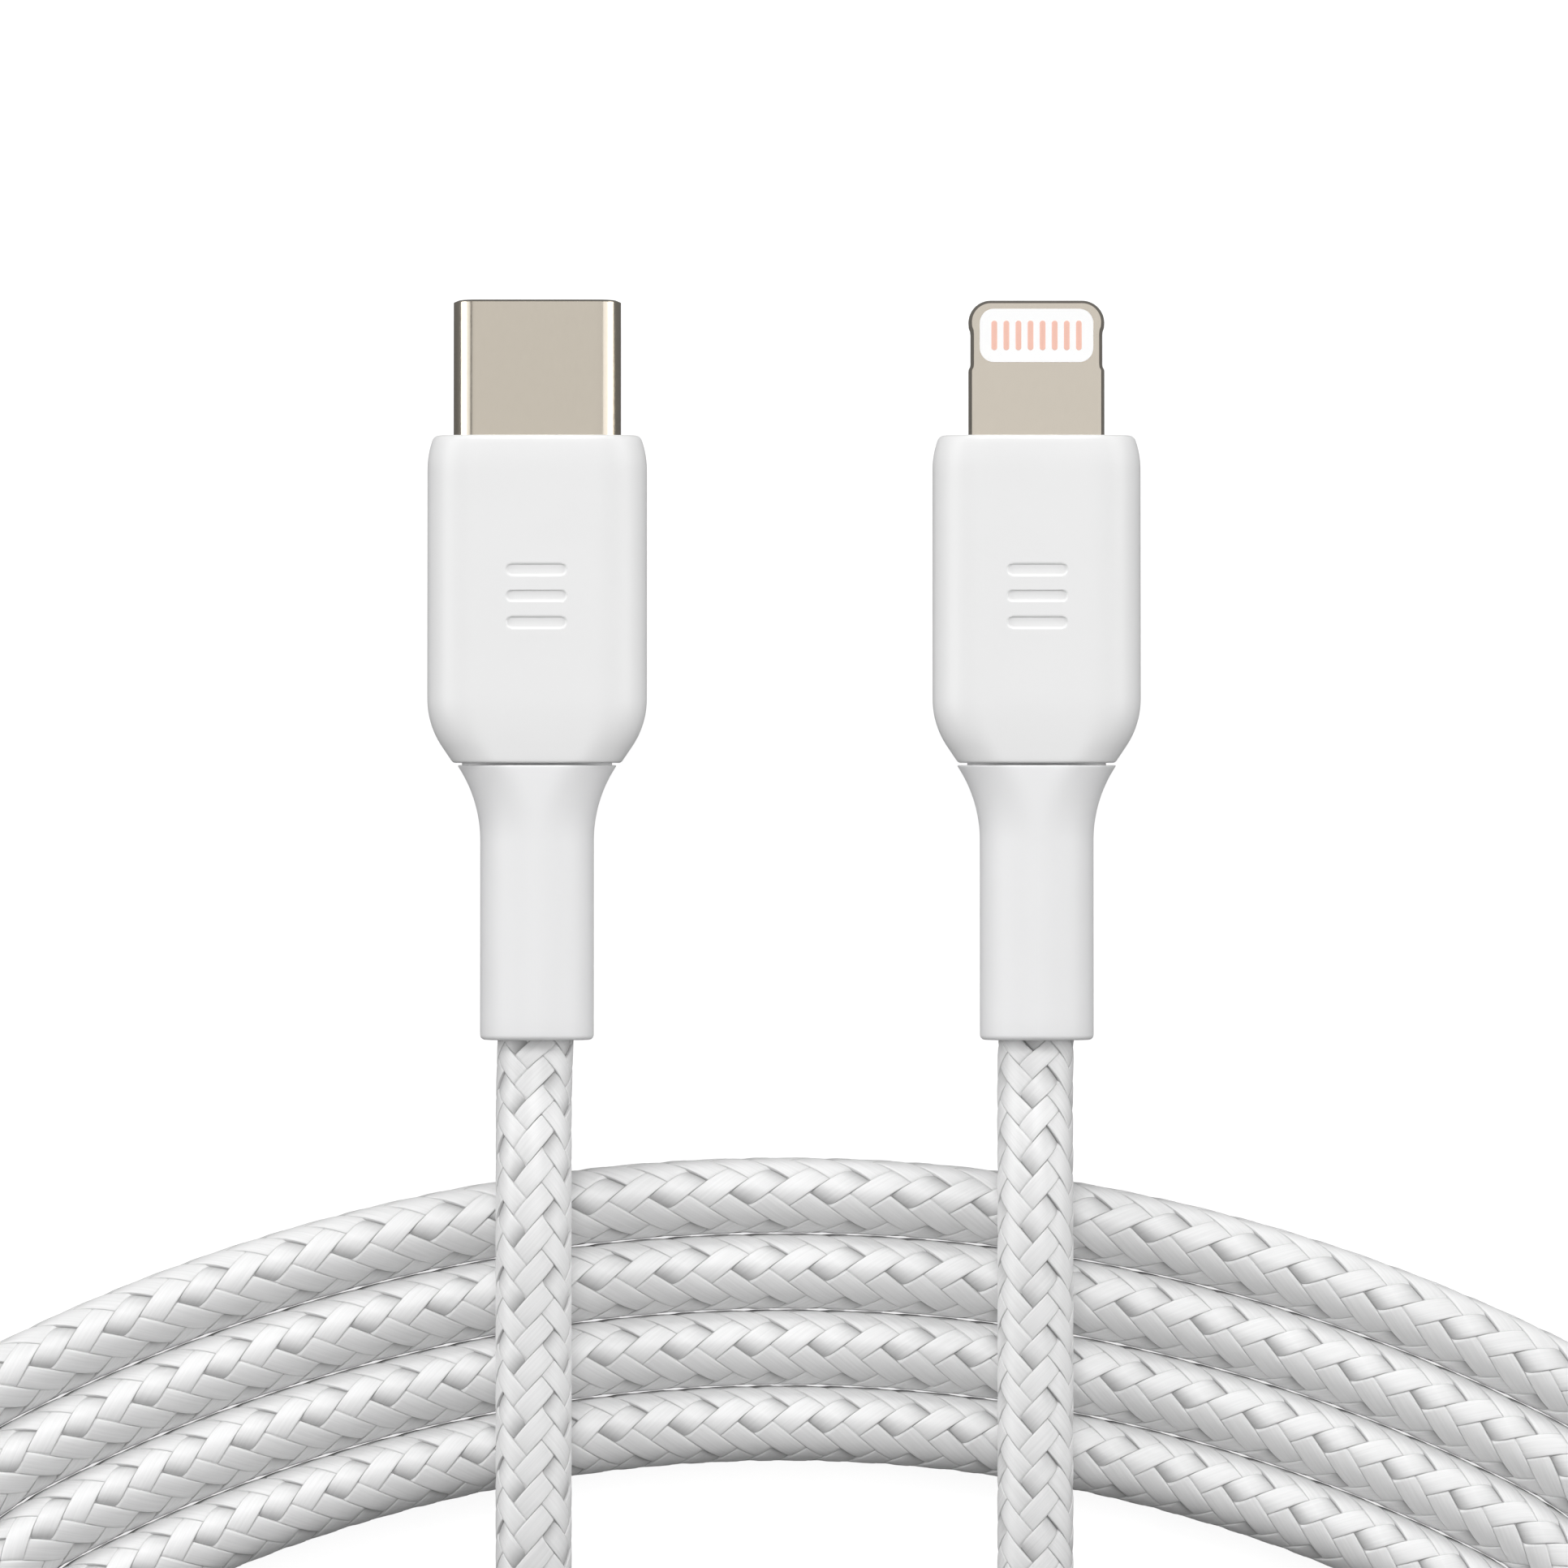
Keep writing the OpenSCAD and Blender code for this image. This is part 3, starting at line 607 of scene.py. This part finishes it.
def loft(name, plug, rings, material, joined_ends=True, sharp_angle=35):
    """One surface through rings of points in a plug's own axes. With joined_ends it closes on itself."""
    rings = np.array(rings)
    count, size = rings.shape[:2]
    if joined_ends:
        rings = np.concatenate([rings, rings[:1]])
        faces = grid_faces(count + 1, size)
        faces = faces % (count * size)
        rings = rings[:-1]
    else:
        faces = grid_faces(count, size)
    mesh = quad_mesh(name, rings.reshape(-1, 3), faces)
    shape = bmesh.new()
    shape.from_mesh(mesh)
    if not joined_ends:
        bmesh.ops.holes_fill(shape, edges=[e for e in shape.edges if e.is_boundary], sides=size)
    bmesh.ops.recalc_face_normals(shape, faces=shape.faces)
    shape.to_mesh(mesh)
    shape.free()
    mesh.transform(plug)
    return finish_mesh(name, mesh, material, sharp_angle=sharp_angle)


def quarter(count):
    """(how far in, how far along) round a quarter circle of radius 1, from the end face to the side."""
    angles = np.linspace(0, math.pi / 2, count)
    return [(1 - math.sin(a), 1 - math.cos(a)) for a in angles]


HOUSING_LENGTH = 16.2 * MM
HOUSING_HEIGHT = 6 * MM
EDGE_RADIUS = 2.4 * MM
FRONT_LENGTH = 1.76 * MM
FRONT_IN = 0.36 * MM
TAIL_START = 13.04 * MM
TAIL_RADIUS = 4.2 * MM
TAIL_ANGLE = math.radians(34)
TAIL_THIN = 0.15 * MM
FRONT_FILLET = 0.22 * MM
FRONT_BACK = 0.07 * MM     # the front face's own place, behind the nominal one
TAIL_FILLET = 0.1 * MM
FACE_IN = 0.07 * MM        # how far the top and bottom draw in at the front
THIN_POWER = 1.6           # how late the top and bottom thin along the tail
# The housing's rings, as (how far back, rings up to there). They are closest round the grip grooves.
HOUSING_RINGS = (
    (2.2 * MM, 12), (6.2 * MM, 6), (9.8 * MM, 66), (TAIL_START, 5), (HOUSING_LENGTH - TAIL_FILLET, 22),
)
WALL = 0.85 * MM
CAVITY_LENGTH = 12 * MM
CAVITY_HEIGHT = HOUSING_HEIGHT - 2 * WALL + 0.1 * MM   # the same as the CAD housing's
CAVITY_FRONT = 1 * MM      # from the front face to the cavity
HOLE_EDGE = 0.05 * MM      # depth of the front hole's slanted edge
HOLE_WIDER = 0.04 * MM     # and how far it widens on each side
GROOVE = 0.12 * MM
NECK_SIDE = 0.45 * MM
NECK_PLAY = 0.05 * MM
NECK_FRONT = 13.05 * MM    # where the strain relief's neck starts, inside the housing

TAIL_ARC_LENGTH = TAIL_RADIUS * math.sin(TAIL_ANGLE)
TAIL_LENGTH = HOUSING_LENGTH - TAIL_START
TAIL_IN = TAIL_RADIUS * (1 - math.cos(TAIL_ANGLE)) + (TAIL_LENGTH - TAIL_ARC_LENGTH) * math.tan(TAIL_ANGLE)

MARK_MIDDLE = 8 * MM       # from the front face to the middle of the grip grooves
MARK_SPACING = 1.3 * MM
MARK_HALF_LENGTH = 1.5 * MM
MARK_RADIUS = 0.3 * MM
MARK_DEPTH = 0.1 * MM
MARK_EDGE = 0.07 * MM


def side_in(back):
    """How far the housing's sides have drawn in, at a distance back from its front face."""
    drawn = 0.0
    if back < FRONT_LENGTH:
        radius = (FRONT_LENGTH**2 + FRONT_IN**2) / (2 * FRONT_IN)
        drawn += radius - math.sqrt(radius**2 - (FRONT_LENGTH - back) ** 2)
    if back > TAIL_START:
        past = back - TAIL_START
        if past < TAIL_ARC_LENGTH:
            drawn += TAIL_RADIUS - math.sqrt(TAIL_RADIUS**2 - past**2)
        else:
            drawn += TAIL_RADIUS * (1 - math.cos(TAIL_ANGLE))
            drawn += (past - TAIL_ARC_LENGTH) * math.tan(TAIL_ANGLE)
    return drawn


def face_in(back):
    """How far the housing's top and bottom have drawn in."""
    drawn = FACE_IN * max(0, 1 - back / FRONT_LENGTH) ** 2
    if back > TAIL_START:
        drawn += TAIL_THIN * ((back - TAIL_START) / TAIL_LENGTH) ** THIN_POWER
    return drawn


def press_grooves(points):
    """Three short grip grooves with round ends, pressed into the housing's top."""
    x, y, z = points[:, 0], points[:, 1], points[:, 2]
    beyond = np.maximum(np.abs(x) - MARK_HALF_LENGTH + MARK_RADIUS, 0)
    for k in (-1, 0, 1):
        reach = np.hypot(beyond, y + MARK_MIDDLE + k * MARK_SPACING)
        inside = np.clip((MARK_RADIUS - reach) / MARK_EDGE, 0, 1)
        points[:, 2] = np.where(z > 0, points[:, 2] - MARK_DEPTH * smooth(inside), points[:, 2])


def make_housing(name, plug, width, hole, cad_node):
    """Hollow housing, as one closed surface: outside from front to tail, then inside to the front hole."""
    counts = {"per_side": 110, "per_corner": 16, "per_end": 10}
    neck_width = width - 2 * TAIL_IN - 2 * NECK_SIDE + 2 * NECK_PLAY
    backs = [FRONT_BACK + FRONT_FILLET * along for _, along in quarter(7)]
    ins = [FRONT_FILLET * inward for inward, _ in quarter(7)]
    start = FRONT_BACK + FRONT_FILLET
    for stop, count in HOUSING_RINGS:
        backs += list(np.linspace(start, stop, count)[1:])
        ins += [0] * (count - 1)
        start = stop
    for inward, along in quarter(5)[::-1][1:]:
        backs.append(HOUSING_LENGTH - TAIL_FILLET * along)
        ins.append(TAIL_FILLET * inward)
    outside = []
    for back, more in zip(backs, ins):
        w = width - 2 * side_in(back) - 2 * more
        h = HOUSING_HEIGHT - 2 * face_in(back) - 2 * more
        ring = rounded_ring(w, h, EDGE_RADIUS - more - face_in(back), -back, **counts)
        press_grooves(ring)
        outside.append(ring)
    cavity_radius = EDGE_RADIUS - WALL
    cavity_end = CAVITY_FRONT + CAVITY_LENGTH
    inside = [
        rounded_ring(neck_width, CAVITY_HEIGHT, cavity_radius, -HOUSING_LENGTH, **counts),
        rounded_ring(neck_width, CAVITY_HEIGHT, cavity_radius, -cavity_end, **counts),
        rounded_ring(width - 2 * WALL, CAVITY_HEIGHT, cavity_radius, -cavity_end, **counts),
        rounded_ring(width - 2 * WALL, CAVITY_HEIGHT, cavity_radius, -CAVITY_FRONT, **counts),
        rounded_ring(*hole, -CAVITY_FRONT, **counts),
        rounded_ring(*hole, -FRONT_BACK - HOLE_EDGE, **counts),
        rounded_ring(
            hole[0] + 2 * HOLE_WIDER, hole[1] + 2 * HOLE_WIDER, hole[2] + HOLE_WIDER, -FRONT_BACK, **counts
        ),
    ]
    piece = loft(name, plug @ UPRIGHT, outside + inside, white_plastic)
    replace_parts(piece, cad_node)
    return piece


SLEEVE_RADIUS = 2.8 * MM
FLARE_RADIUS = 6.6 * MM
FLARE_FILLET = 0.08 * MM
MOUTH_FILLET = 0.25 * MM
MOUTH_EDGE = 0.12 * MM     # the bore is this much wider at its mouth
BORE_RADIUS = 1.9 * MM
CORE_BORE_RADIUS = 1.43 * MM   # where only the core goes on
FLARE_SQUARE = 0.12 * MM   # the flare's corners are this much squarer at the housing


def make_strain_relief(name, plug, width, cad_node):
    """Neck inside the housing, a flare that meets the housing's tail, and a sleeve with the cord's bore."""
    counts = {"per_side": 14, "per_corner": 14, "per_end": 14}
    neck_width = width - 2 * TAIL_IN - 2 * NECK_SIDE
    neck_height = CAVITY_HEIGHT - 2 * NECK_PLAY
    flare_start = HOUSING_LENGTH + GROOVE
    flare_length = FLARE_RADIUS * math.sin(TAIL_ANGLE)
    tail_height = HOUSING_HEIGHT - 2 * TAIL_THIN
    neck_radius = EDGE_RADIUS - WALL - NECK_PLAY
    rings = [
        rounded_ring(neck_width, neck_height, neck_radius, -NECK_FRONT, **counts),
        rounded_ring(neck_width, neck_height, neck_radius, -flare_start, **counts),
    ]

    def outer(back, more=0.0):
        """Ring of the flare or sleeve, drawn in by more."""
        half = SLEEVE_RADIUS
        left = flare_start + flare_length - back
        if left > 0:
            half += FLARE_RADIUS - math.sqrt(FLARE_RADIUS**2 - left**2)
        share = max(0, left / flare_length)
        half_height = min(half, SLEEVE_RADIUS + (tail_height / 2 - SLEEVE_RADIUS) * share)
        corner = half_height - FLARE_SQUARE * smooth(share)
        return rounded_ring(2 * (half - more), 2 * (half_height - more), corner - more, -back, **counts)

    for inward, along in quarter(5):
        rings.append(outer(flare_start + FLARE_FILLET * along, FLARE_FILLET * inward))
    for back in np.linspace(flare_start + FLARE_FILLET, flare_start + flare_length, 26)[1:]:
        rings.append(outer(back))
    for back in np.linspace(flare_start + flare_length, SLEEVE_END - MOUTH_FILLET, 12)[1:]:
        rings.append(outer(back))
    for inward, along in quarter(8)[::-1][1:]:
        rings.append(outer(SLEEVE_END - MOUTH_FILLET * along, MOUTH_FILLET * inward))
    for radius, back in (
        (BORE_RADIUS + MOUTH_EDGE, SLEEVE_END), (BORE_RADIUS, SLEEVE_END - 4 * MOUTH_EDGE),
        (BORE_RADIUS, BRAID_FRONT), (CORE_BORE_RADIUS, BRAID_FRONT), (CORE_BORE_RADIUS, NECK_FRONT),
    ):
        rings.append(rounded_ring(2 * radius, 2 * radius, radius, -back, **counts))
    piece = loft(name, plug @ UPRIGHT, rings, sleeve_rubber)
    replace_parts(piece, cad_node)
    return piece


# ---------- oval plug ----------

SHELL_WIDTH = 8.25 * MM
SHELL_HEIGHT = 2.4 * MM
SHELL_WALL = 0.25 * MM
SHELL_BEVEL = 0.11 * MM    # length of the rolled lip at the tip
SHELL_LIP = 0.24 * MM      # and its depth
LIP_PROFILE = ((0.04, 0.9), (0.5, 0.45), (1, 0))   # shares of the depth and the length, towards the tip
SHELL_BACK = 1.6 * MM      # how far the shell goes into the housing
LIP_STEP = 0.03 * MM       # space between the rings that keep the lip crisp
CHARGER_WIDTH = 10.8 * MM
HOLE_PLAY = 0.04 * MM      # round either plug's metal, in the housing's front hole


def make_shell():
    """Drawn steel shell, open at the tip, with a rolled lip. Outside from back to tip, then back inside."""
    counts = {"per_side": 30, "per_corner": 18, "per_end": 2}
    rings = []

    def stadium(y, inward):
        height = SHELL_HEIGHT - 2 * inward
        rings.append(rounded_ring(SHELL_WIDTH - 2 * inward, height, height / 2, y, **counts))

    for y in np.linspace(-SHELL_BACK, TIP_LENGTH - SHELL_BEVEL - LIP_STEP, 12):
        stadium(y, 0)
    stadium(TIP_LENGTH - SHELL_BEVEL, 0)
    for inward, along in LIP_PROFILE:
        stadium(TIP_LENGTH - SHELL_BEVEL * along, SHELL_LIP * inward)
    stadium(TIP_LENGTH - LIP_STEP, SHELL_WALL)
    stadium(-SHELL_BACK, SHELL_WALL)
    piece = loft("charger_shell_drawn", charger, rings, shell_steel)
    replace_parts(piece, "charger_shell")


make_shell()
make_housing(
    "charger_housing_moulded", charger, CHARGER_WIDTH,
    (SHELL_WIDTH + 2 * HOLE_PLAY, SHELL_HEIGHT + 2 * HOLE_PLAY, SHELL_HEIGHT / 2 + HOLE_PLAY),
    "charger_housing",
)
make_strain_relief("charger_strain_relief_moulded", charger, CHARGER_WIDTH, "charger_strain_relief")

# ---------- tab plug ----------

TAB_WIDTH = 6.7 * MM
TAB_HEIGHT = 1.5 * MM
TAB_EDGE = 0.17 * MM       # width of the rounding along its sides and tip
TAB_EDGE_DEPTH = 0.6 * MM
TAB_CORNER = 1.1 * MM
NOTCH = 0.1 * MM
WINDOW = (5.6 * MM, 2.64 * MM, 0.7 * MM)
WINDOW_MIDDLE = 4.84 * MM
PAD_WIDTH = 0.3 * MM
PAD_LENGTH = 1.48 * MM
PAD_SPACING = 0.595 * MM
PAD_HEIGHT = 0.2 * MM
PAD_EDGE = 0.03 * MM
PAD_PROUD = 0.008 * MM     # above the tab's faces
CARRIER_GAP = 0.003 * MM   # between the carrier and its window
CARRIER_LOW = 0.002 * MM   # below the tab's faces
CARRIER_EDGE = 0.012 * MM
TAB_PROFILE = ((1, 0), (0.9, 0.05), (0.3, 0.55), (0, 1))   # shares of the edge's width and depth
PLATE_FLAT = 0.02 * MM     # inside the edges, keeps a flat face's shading flat
PLATE_HOLE_EDGE = 0.01 * MM
PHONE_WIDTH = 10.24 * MM


def rounded_outline(width, length, radius, middle, per_corner=12):
    """Corner points of a rounded rectangle in x and y, anticlockwise."""
    ring = rounded_ring(width, length, radius, 0, per_side=6, per_corner=per_corner, per_end=3)
    return np.stack([ring[:, 0], ring[:, 2] + middle], 1)


def tab_outline():
    """Half-round tip corners and a shallow notch on each side, anticlockwise from the tail."""
    half = TAB_WIDTH / 2
    right = [(half, -1.5 * MM), (half, 3.1 * MM), (half - NOTCH * 0.15, 3.2 * MM)]
    right += [(half - NOTCH * 0.85, 3.32 * MM), (half - NOTCH, 3.45 * MM), (half - NOTCH, 4.9 * MM)]
    right += [(half - NOTCH * 0.8, 5.08 * MM), (half - NOTCH * 0.15, 5.25 * MM)]
    for a in np.radians(np.linspace(0, 90, 16)):
        right.append((half - TAB_CORNER * (1 - math.cos(a)), TIP_LENGTH - TAB_CORNER * (1 - math.sin(a))))
    left = [(-x, y) for x, y in right[::-1]]
    return np.array(right + left)


def inset(outline, distance):
    """The outline moved inwards. It runs anticlockwise."""
    before, after = np.roll(outline, 1, axis=0), np.roll(outline, -1, axis=0)
    one = outline - before
    two = after - outline
    one /= np.linalg.norm(one, axis=1)[:, None]
    two /= np.linalg.norm(two, axis=1)[:, None]
    normal = np.stack([-(one[:, 1] + two[:, 1]), one[:, 0] + two[:, 0]], 1)
    normal /= np.linalg.norm(normal, axis=1)[:, None]
    cosine = (normal * np.stack([-one[:, 1], one[:, 0]], 1)).sum(1)
    return outline + normal * (distance / np.maximum(cosine, 0.5))[:, None]


def plate(name, plug, outline, height, edge, depth=None, hole=None, at_z=0.0, profile=None):
    """A flat plate with rounded or profiled edges, and one hole right through if given. Returns its mesh."""
    shape = bmesh.new()

    def loop_of(points, z):
        return [shape.verts.new((x, y, z + at_z)) for x, y in points]

    def join(first, second):
        count = len(first)
        for k in range(count):
            n = (k + 1) % count
            shape.faces.new((first[k], first[n], second[n], second[k]))

    half = height / 2
    levels = [(edge + PLATE_FLAT, half)]
    levels += [(edge * inward, half - (depth or edge) * along) for inward, along in profile or quarter(9)]
    levels += [(inward, -z) for inward, z in levels[::-1]]
    loops = [loop_of(inset(outline, inward) if inward else outline, z) for inward, z in levels]
    for first, second in zip(loops[1:], loops):
        join(first, second)
    if hole is None:
        shape.faces.new(loops[0])
        shape.faces.new(loops[-1][::-1])
    else:
        wide = inset(hole, -PLATE_HOLE_EDGE)
        walls = [loop_of(wide, half), loop_of(hole, half - PLATE_HOLE_EDGE)]
        walls += [loop_of(hole, PLATE_HOLE_EDGE - half), loop_of(wide, -half)]
        for first, second in zip(walls, walls[1:]):
            join(first, second)
        shape.edges.ensure_lookup_table()
        for outer, inner in ((loops[0], walls[0]), (loops[-1], walls[-1])):
            edges = []
            for loop in (outer, inner):
                count = len(loop)
                edges += [shape.edges.get((loop[k], loop[(k + 1) % count])) for k in range(count)]
            bmesh.ops.triangle_fill(shape, edges=edges, use_beauty=True)
    bmesh.ops.recalc_face_normals(shape, faces=shape.faces)
    mesh = bpy.data.meshes.new(name)
    shape.to_mesh(mesh)
    shape.free()
    mesh.transform(plug)
    return mesh


def pads(name, top):
    """Eight contact pads with round ends on one face of the tab."""
    joined = bmesh.new()
    for k in range(8):
        outline = rounded_outline(PAD_WIDTH, PAD_LENGTH, PAD_WIDTH / 2, WINDOW_MIDDLE, per_corner=8)
        outline[:, 0] += (k - 3.5) * PAD_SPACING
        middle = (TAB_HEIGHT - PAD_HEIGHT) / 2 + PAD_PROUD
        one = plate(name, phone, outline, PAD_HEIGHT, PAD_EDGE, at_z=middle if top else -middle)
        joined.from_mesh(one)
        bpy.data.meshes.remove(one)
    mesh = bpy.data.meshes.new(name)
    joined.to_mesh(mesh)
    joined.free()
    return finish_mesh(name, mesh, pad_metal, sharp_angle=40)


def make_tab():
    window = rounded_outline(*WINDOW, WINDOW_MIDDLE)
    steel = plate(
        "phone_tab_steel", phone, tab_outline(), TAB_HEIGHT, TAB_EDGE, TAB_EDGE_DEPTH, window,
        profile=TAB_PROFILE,
    )
    piece = finish_mesh("phone_tab_steel", steel, tab_steel, sharp_angle=40)
    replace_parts(piece, "phone_tab")
    carrier_outline = inset(window, CARRIER_GAP)
    white = plate("phone_carrier", phone, carrier_outline, TAB_HEIGHT - 2 * CARRIER_LOW, CARRIER_EDGE)
    piece = finish_mesh("phone_carrier", white, white_carrier, sharp_angle=40)
    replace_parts(piece, "phone_contact_carrier")
    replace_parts(pads("phone_pads_upper", True), "phone_contacts_upper")
    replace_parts(pads("phone_pads_lower", False), "phone_contacts_lower")


make_tab()
make_housing(
    "phone_housing_moulded", phone, PHONE_WIDTH,
    (TAB_WIDTH + 2 * HOLE_PLAY, TAB_HEIGHT + 2 * HOLE_PLAY, 0.2 * MM), "phone_housing",
)
make_strain_relief("phone_strain_relief_moulded", phone, PHONE_WIDTH, "phone_strain_relief")

# ---------- CAD nodes that keep their shape ----------

CAD_MATERIALS = {
    "insulator": black_plastic, "gold_contacts": gold, "spring_steel": spring_steel, "board": board_mask,
    "chip": chip_resin, "board_parts": solder_ends, "can_steel": can_steel, "inner_mould": cream_mould,
    "power_wire": red_wire, "signal_wire": green_wire, "core": core_rubber, "housing": white_plastic,
    "sleeve": sleeve_rubber, "plug_steel": shell_steel, "carrier": white_carrier, "contact_pads": pad_metal,
    "braid": core_rubber, "cord": core_rubber,
}

for part in frame["record"]["subparts"]:
    node = frame["nodes"][part["node"]]
    node.data.materials.clear()
    node.data.materials.append(CAD_MATERIALS[part["material_slot"]])

# ---------- floor and light ----------

FLOOR_HALF = 3.0
FLOOR_DROP = 0.01 * MM     # below the cord, so that the two don't share a plane
FLOOR_GLOW = 0.85          # for the camera alone
FLOOR_SEEN = 0.4           # its grey for the camera, on top of the glow
FLOOR_THROWN = 0.17        # its grey for the light that it throws back
SKY_THROWN, SKY_SEEN = 0.05, 0.9
# name, azimuth and elevation in degrees, distance, size, radiance of the face
SOFTBOXES = (
    ("top", 0, 90, 1.2, (1.3, 1.1), 0.62),
    ("key", 98, 56, 1.15, (0.5, 0.35), 8.0),
    ("back", 95, 14, 1.15, (0.8, 0.3), 5.5),
    ("left", 164, 19, 1.0, (0.9, 0.45), 3.5),
    ("left_mid", 180, 42, 1.0, (0.9, 0.4), 1.0),
    ("right", 16, 19, 1.0, (0.9, 0.45), 3.4),
    ("right_mid", 0, 46, 1.0, (0.9, 0.5), 1.15),
)


def make_floor():
    """A pale floor. The light that it throws back is kept low, so that undersides stay darker."""
    mesh = bpy.data.meshes.new("floor")
    corners = [(x * FLOOR_HALF, y * FLOOR_HALF, 0) for x, y in ((-1, -1), (1, -1), (1, 1), (-1, 1))]
    mesh.from_pydata(corners, [], [(0, 1, 2, 3)])
    floor = bpy.data.objects.new("floor", mesh)
    floor.location.z = -FLOOR_DROP
    scene.collection.objects.link(floor)
    material = bpy.data.materials.new("floor")
    material.use_nodes = True
    nodes = material.node_tree.nodes
    nodes.clear()
    bright = add_node(material, "ShaderNodeEmission", Strength=FLOOR_GLOW)
    pale = add_node(material, "ShaderNodeBsdfDiffuse")
    pale.inputs["Color"].default_value = (FLOOR_SEEN, FLOOR_SEEN, FLOOR_SEEN, 1)
    seen = add_node(material, "ShaderNodeAddShader")
    thrown = add_node(material, "ShaderNodeBsdfDiffuse")
    thrown.inputs["Color"].default_value = (FLOOR_THROWN, FLOOR_THROWN, FLOOR_THROWN, 1)
    ray = add_node(material, "ShaderNodeLightPath")
    mix = add_node(material, "ShaderNodeMixShader")
    out = add_node(material, "ShaderNodeOutputMaterial")
    link(material, bright.outputs[0], seen.inputs[0])
    link(material, pale.outputs[0], seen.inputs[1])
    link(material, ray.outputs["Is Camera Ray"], mix.inputs[0])
    link(material, thrown.outputs[0], mix.inputs[1])
    link(material, seen.outputs[0], mix.inputs[2])
    link(material, mix.outputs[0], out.inputs["Surface"])
    mesh.materials.append(material)


def softbox(name, azimuth, elevation, distance, size, radiance):
    """An oblong lamp that faces the plugs. azimuth is from +X towards +Y, and radiance is its face's."""
    data = bpy.data.lights.new(name, "AREA")
    data.shape = "RECTANGLE"
    data.size, data.size_y = size
    data.energy = radiance * size[0] * size[1] * math.pi
    lamp = bpy.data.objects.new(name, data)
    turn, rise = math.radians(azimuth), math.radians(elevation)
    away = Vector((math.cos(turn) * math.cos(rise), math.sin(turn) * math.cos(rise), math.sin(rise)))
    lamp.location = away * distance
    lamp.rotation_mode = "QUATERNION"
    lamp.rotation_quaternion = away.to_track_quat("Z", "Y")
    lamp.visible_camera = False
    scene.collection.objects.link(lamp)


def make_light():
    world = bpy.data.worlds.new("studio")
    world.use_nodes = True
    sky = world.node_tree.nodes["Background"]
    sky.inputs["Color"].default_value = (1, 1, 1, 1)
    ray = add_node(world, "ShaderNodeLightPath")
    # a faint glow from all round, behind which the studio looks white
    link(world, ramp(world, ray.outputs["Is Camera Ray"], SKY_THROWN, SKY_SEEN), sky.inputs["Strength"])
    scene.world = world
    for row in SOFTBOXES:
        softbox(*row)


make_floor()
make_light()
scene.view_settings.view_transform = "Standard"
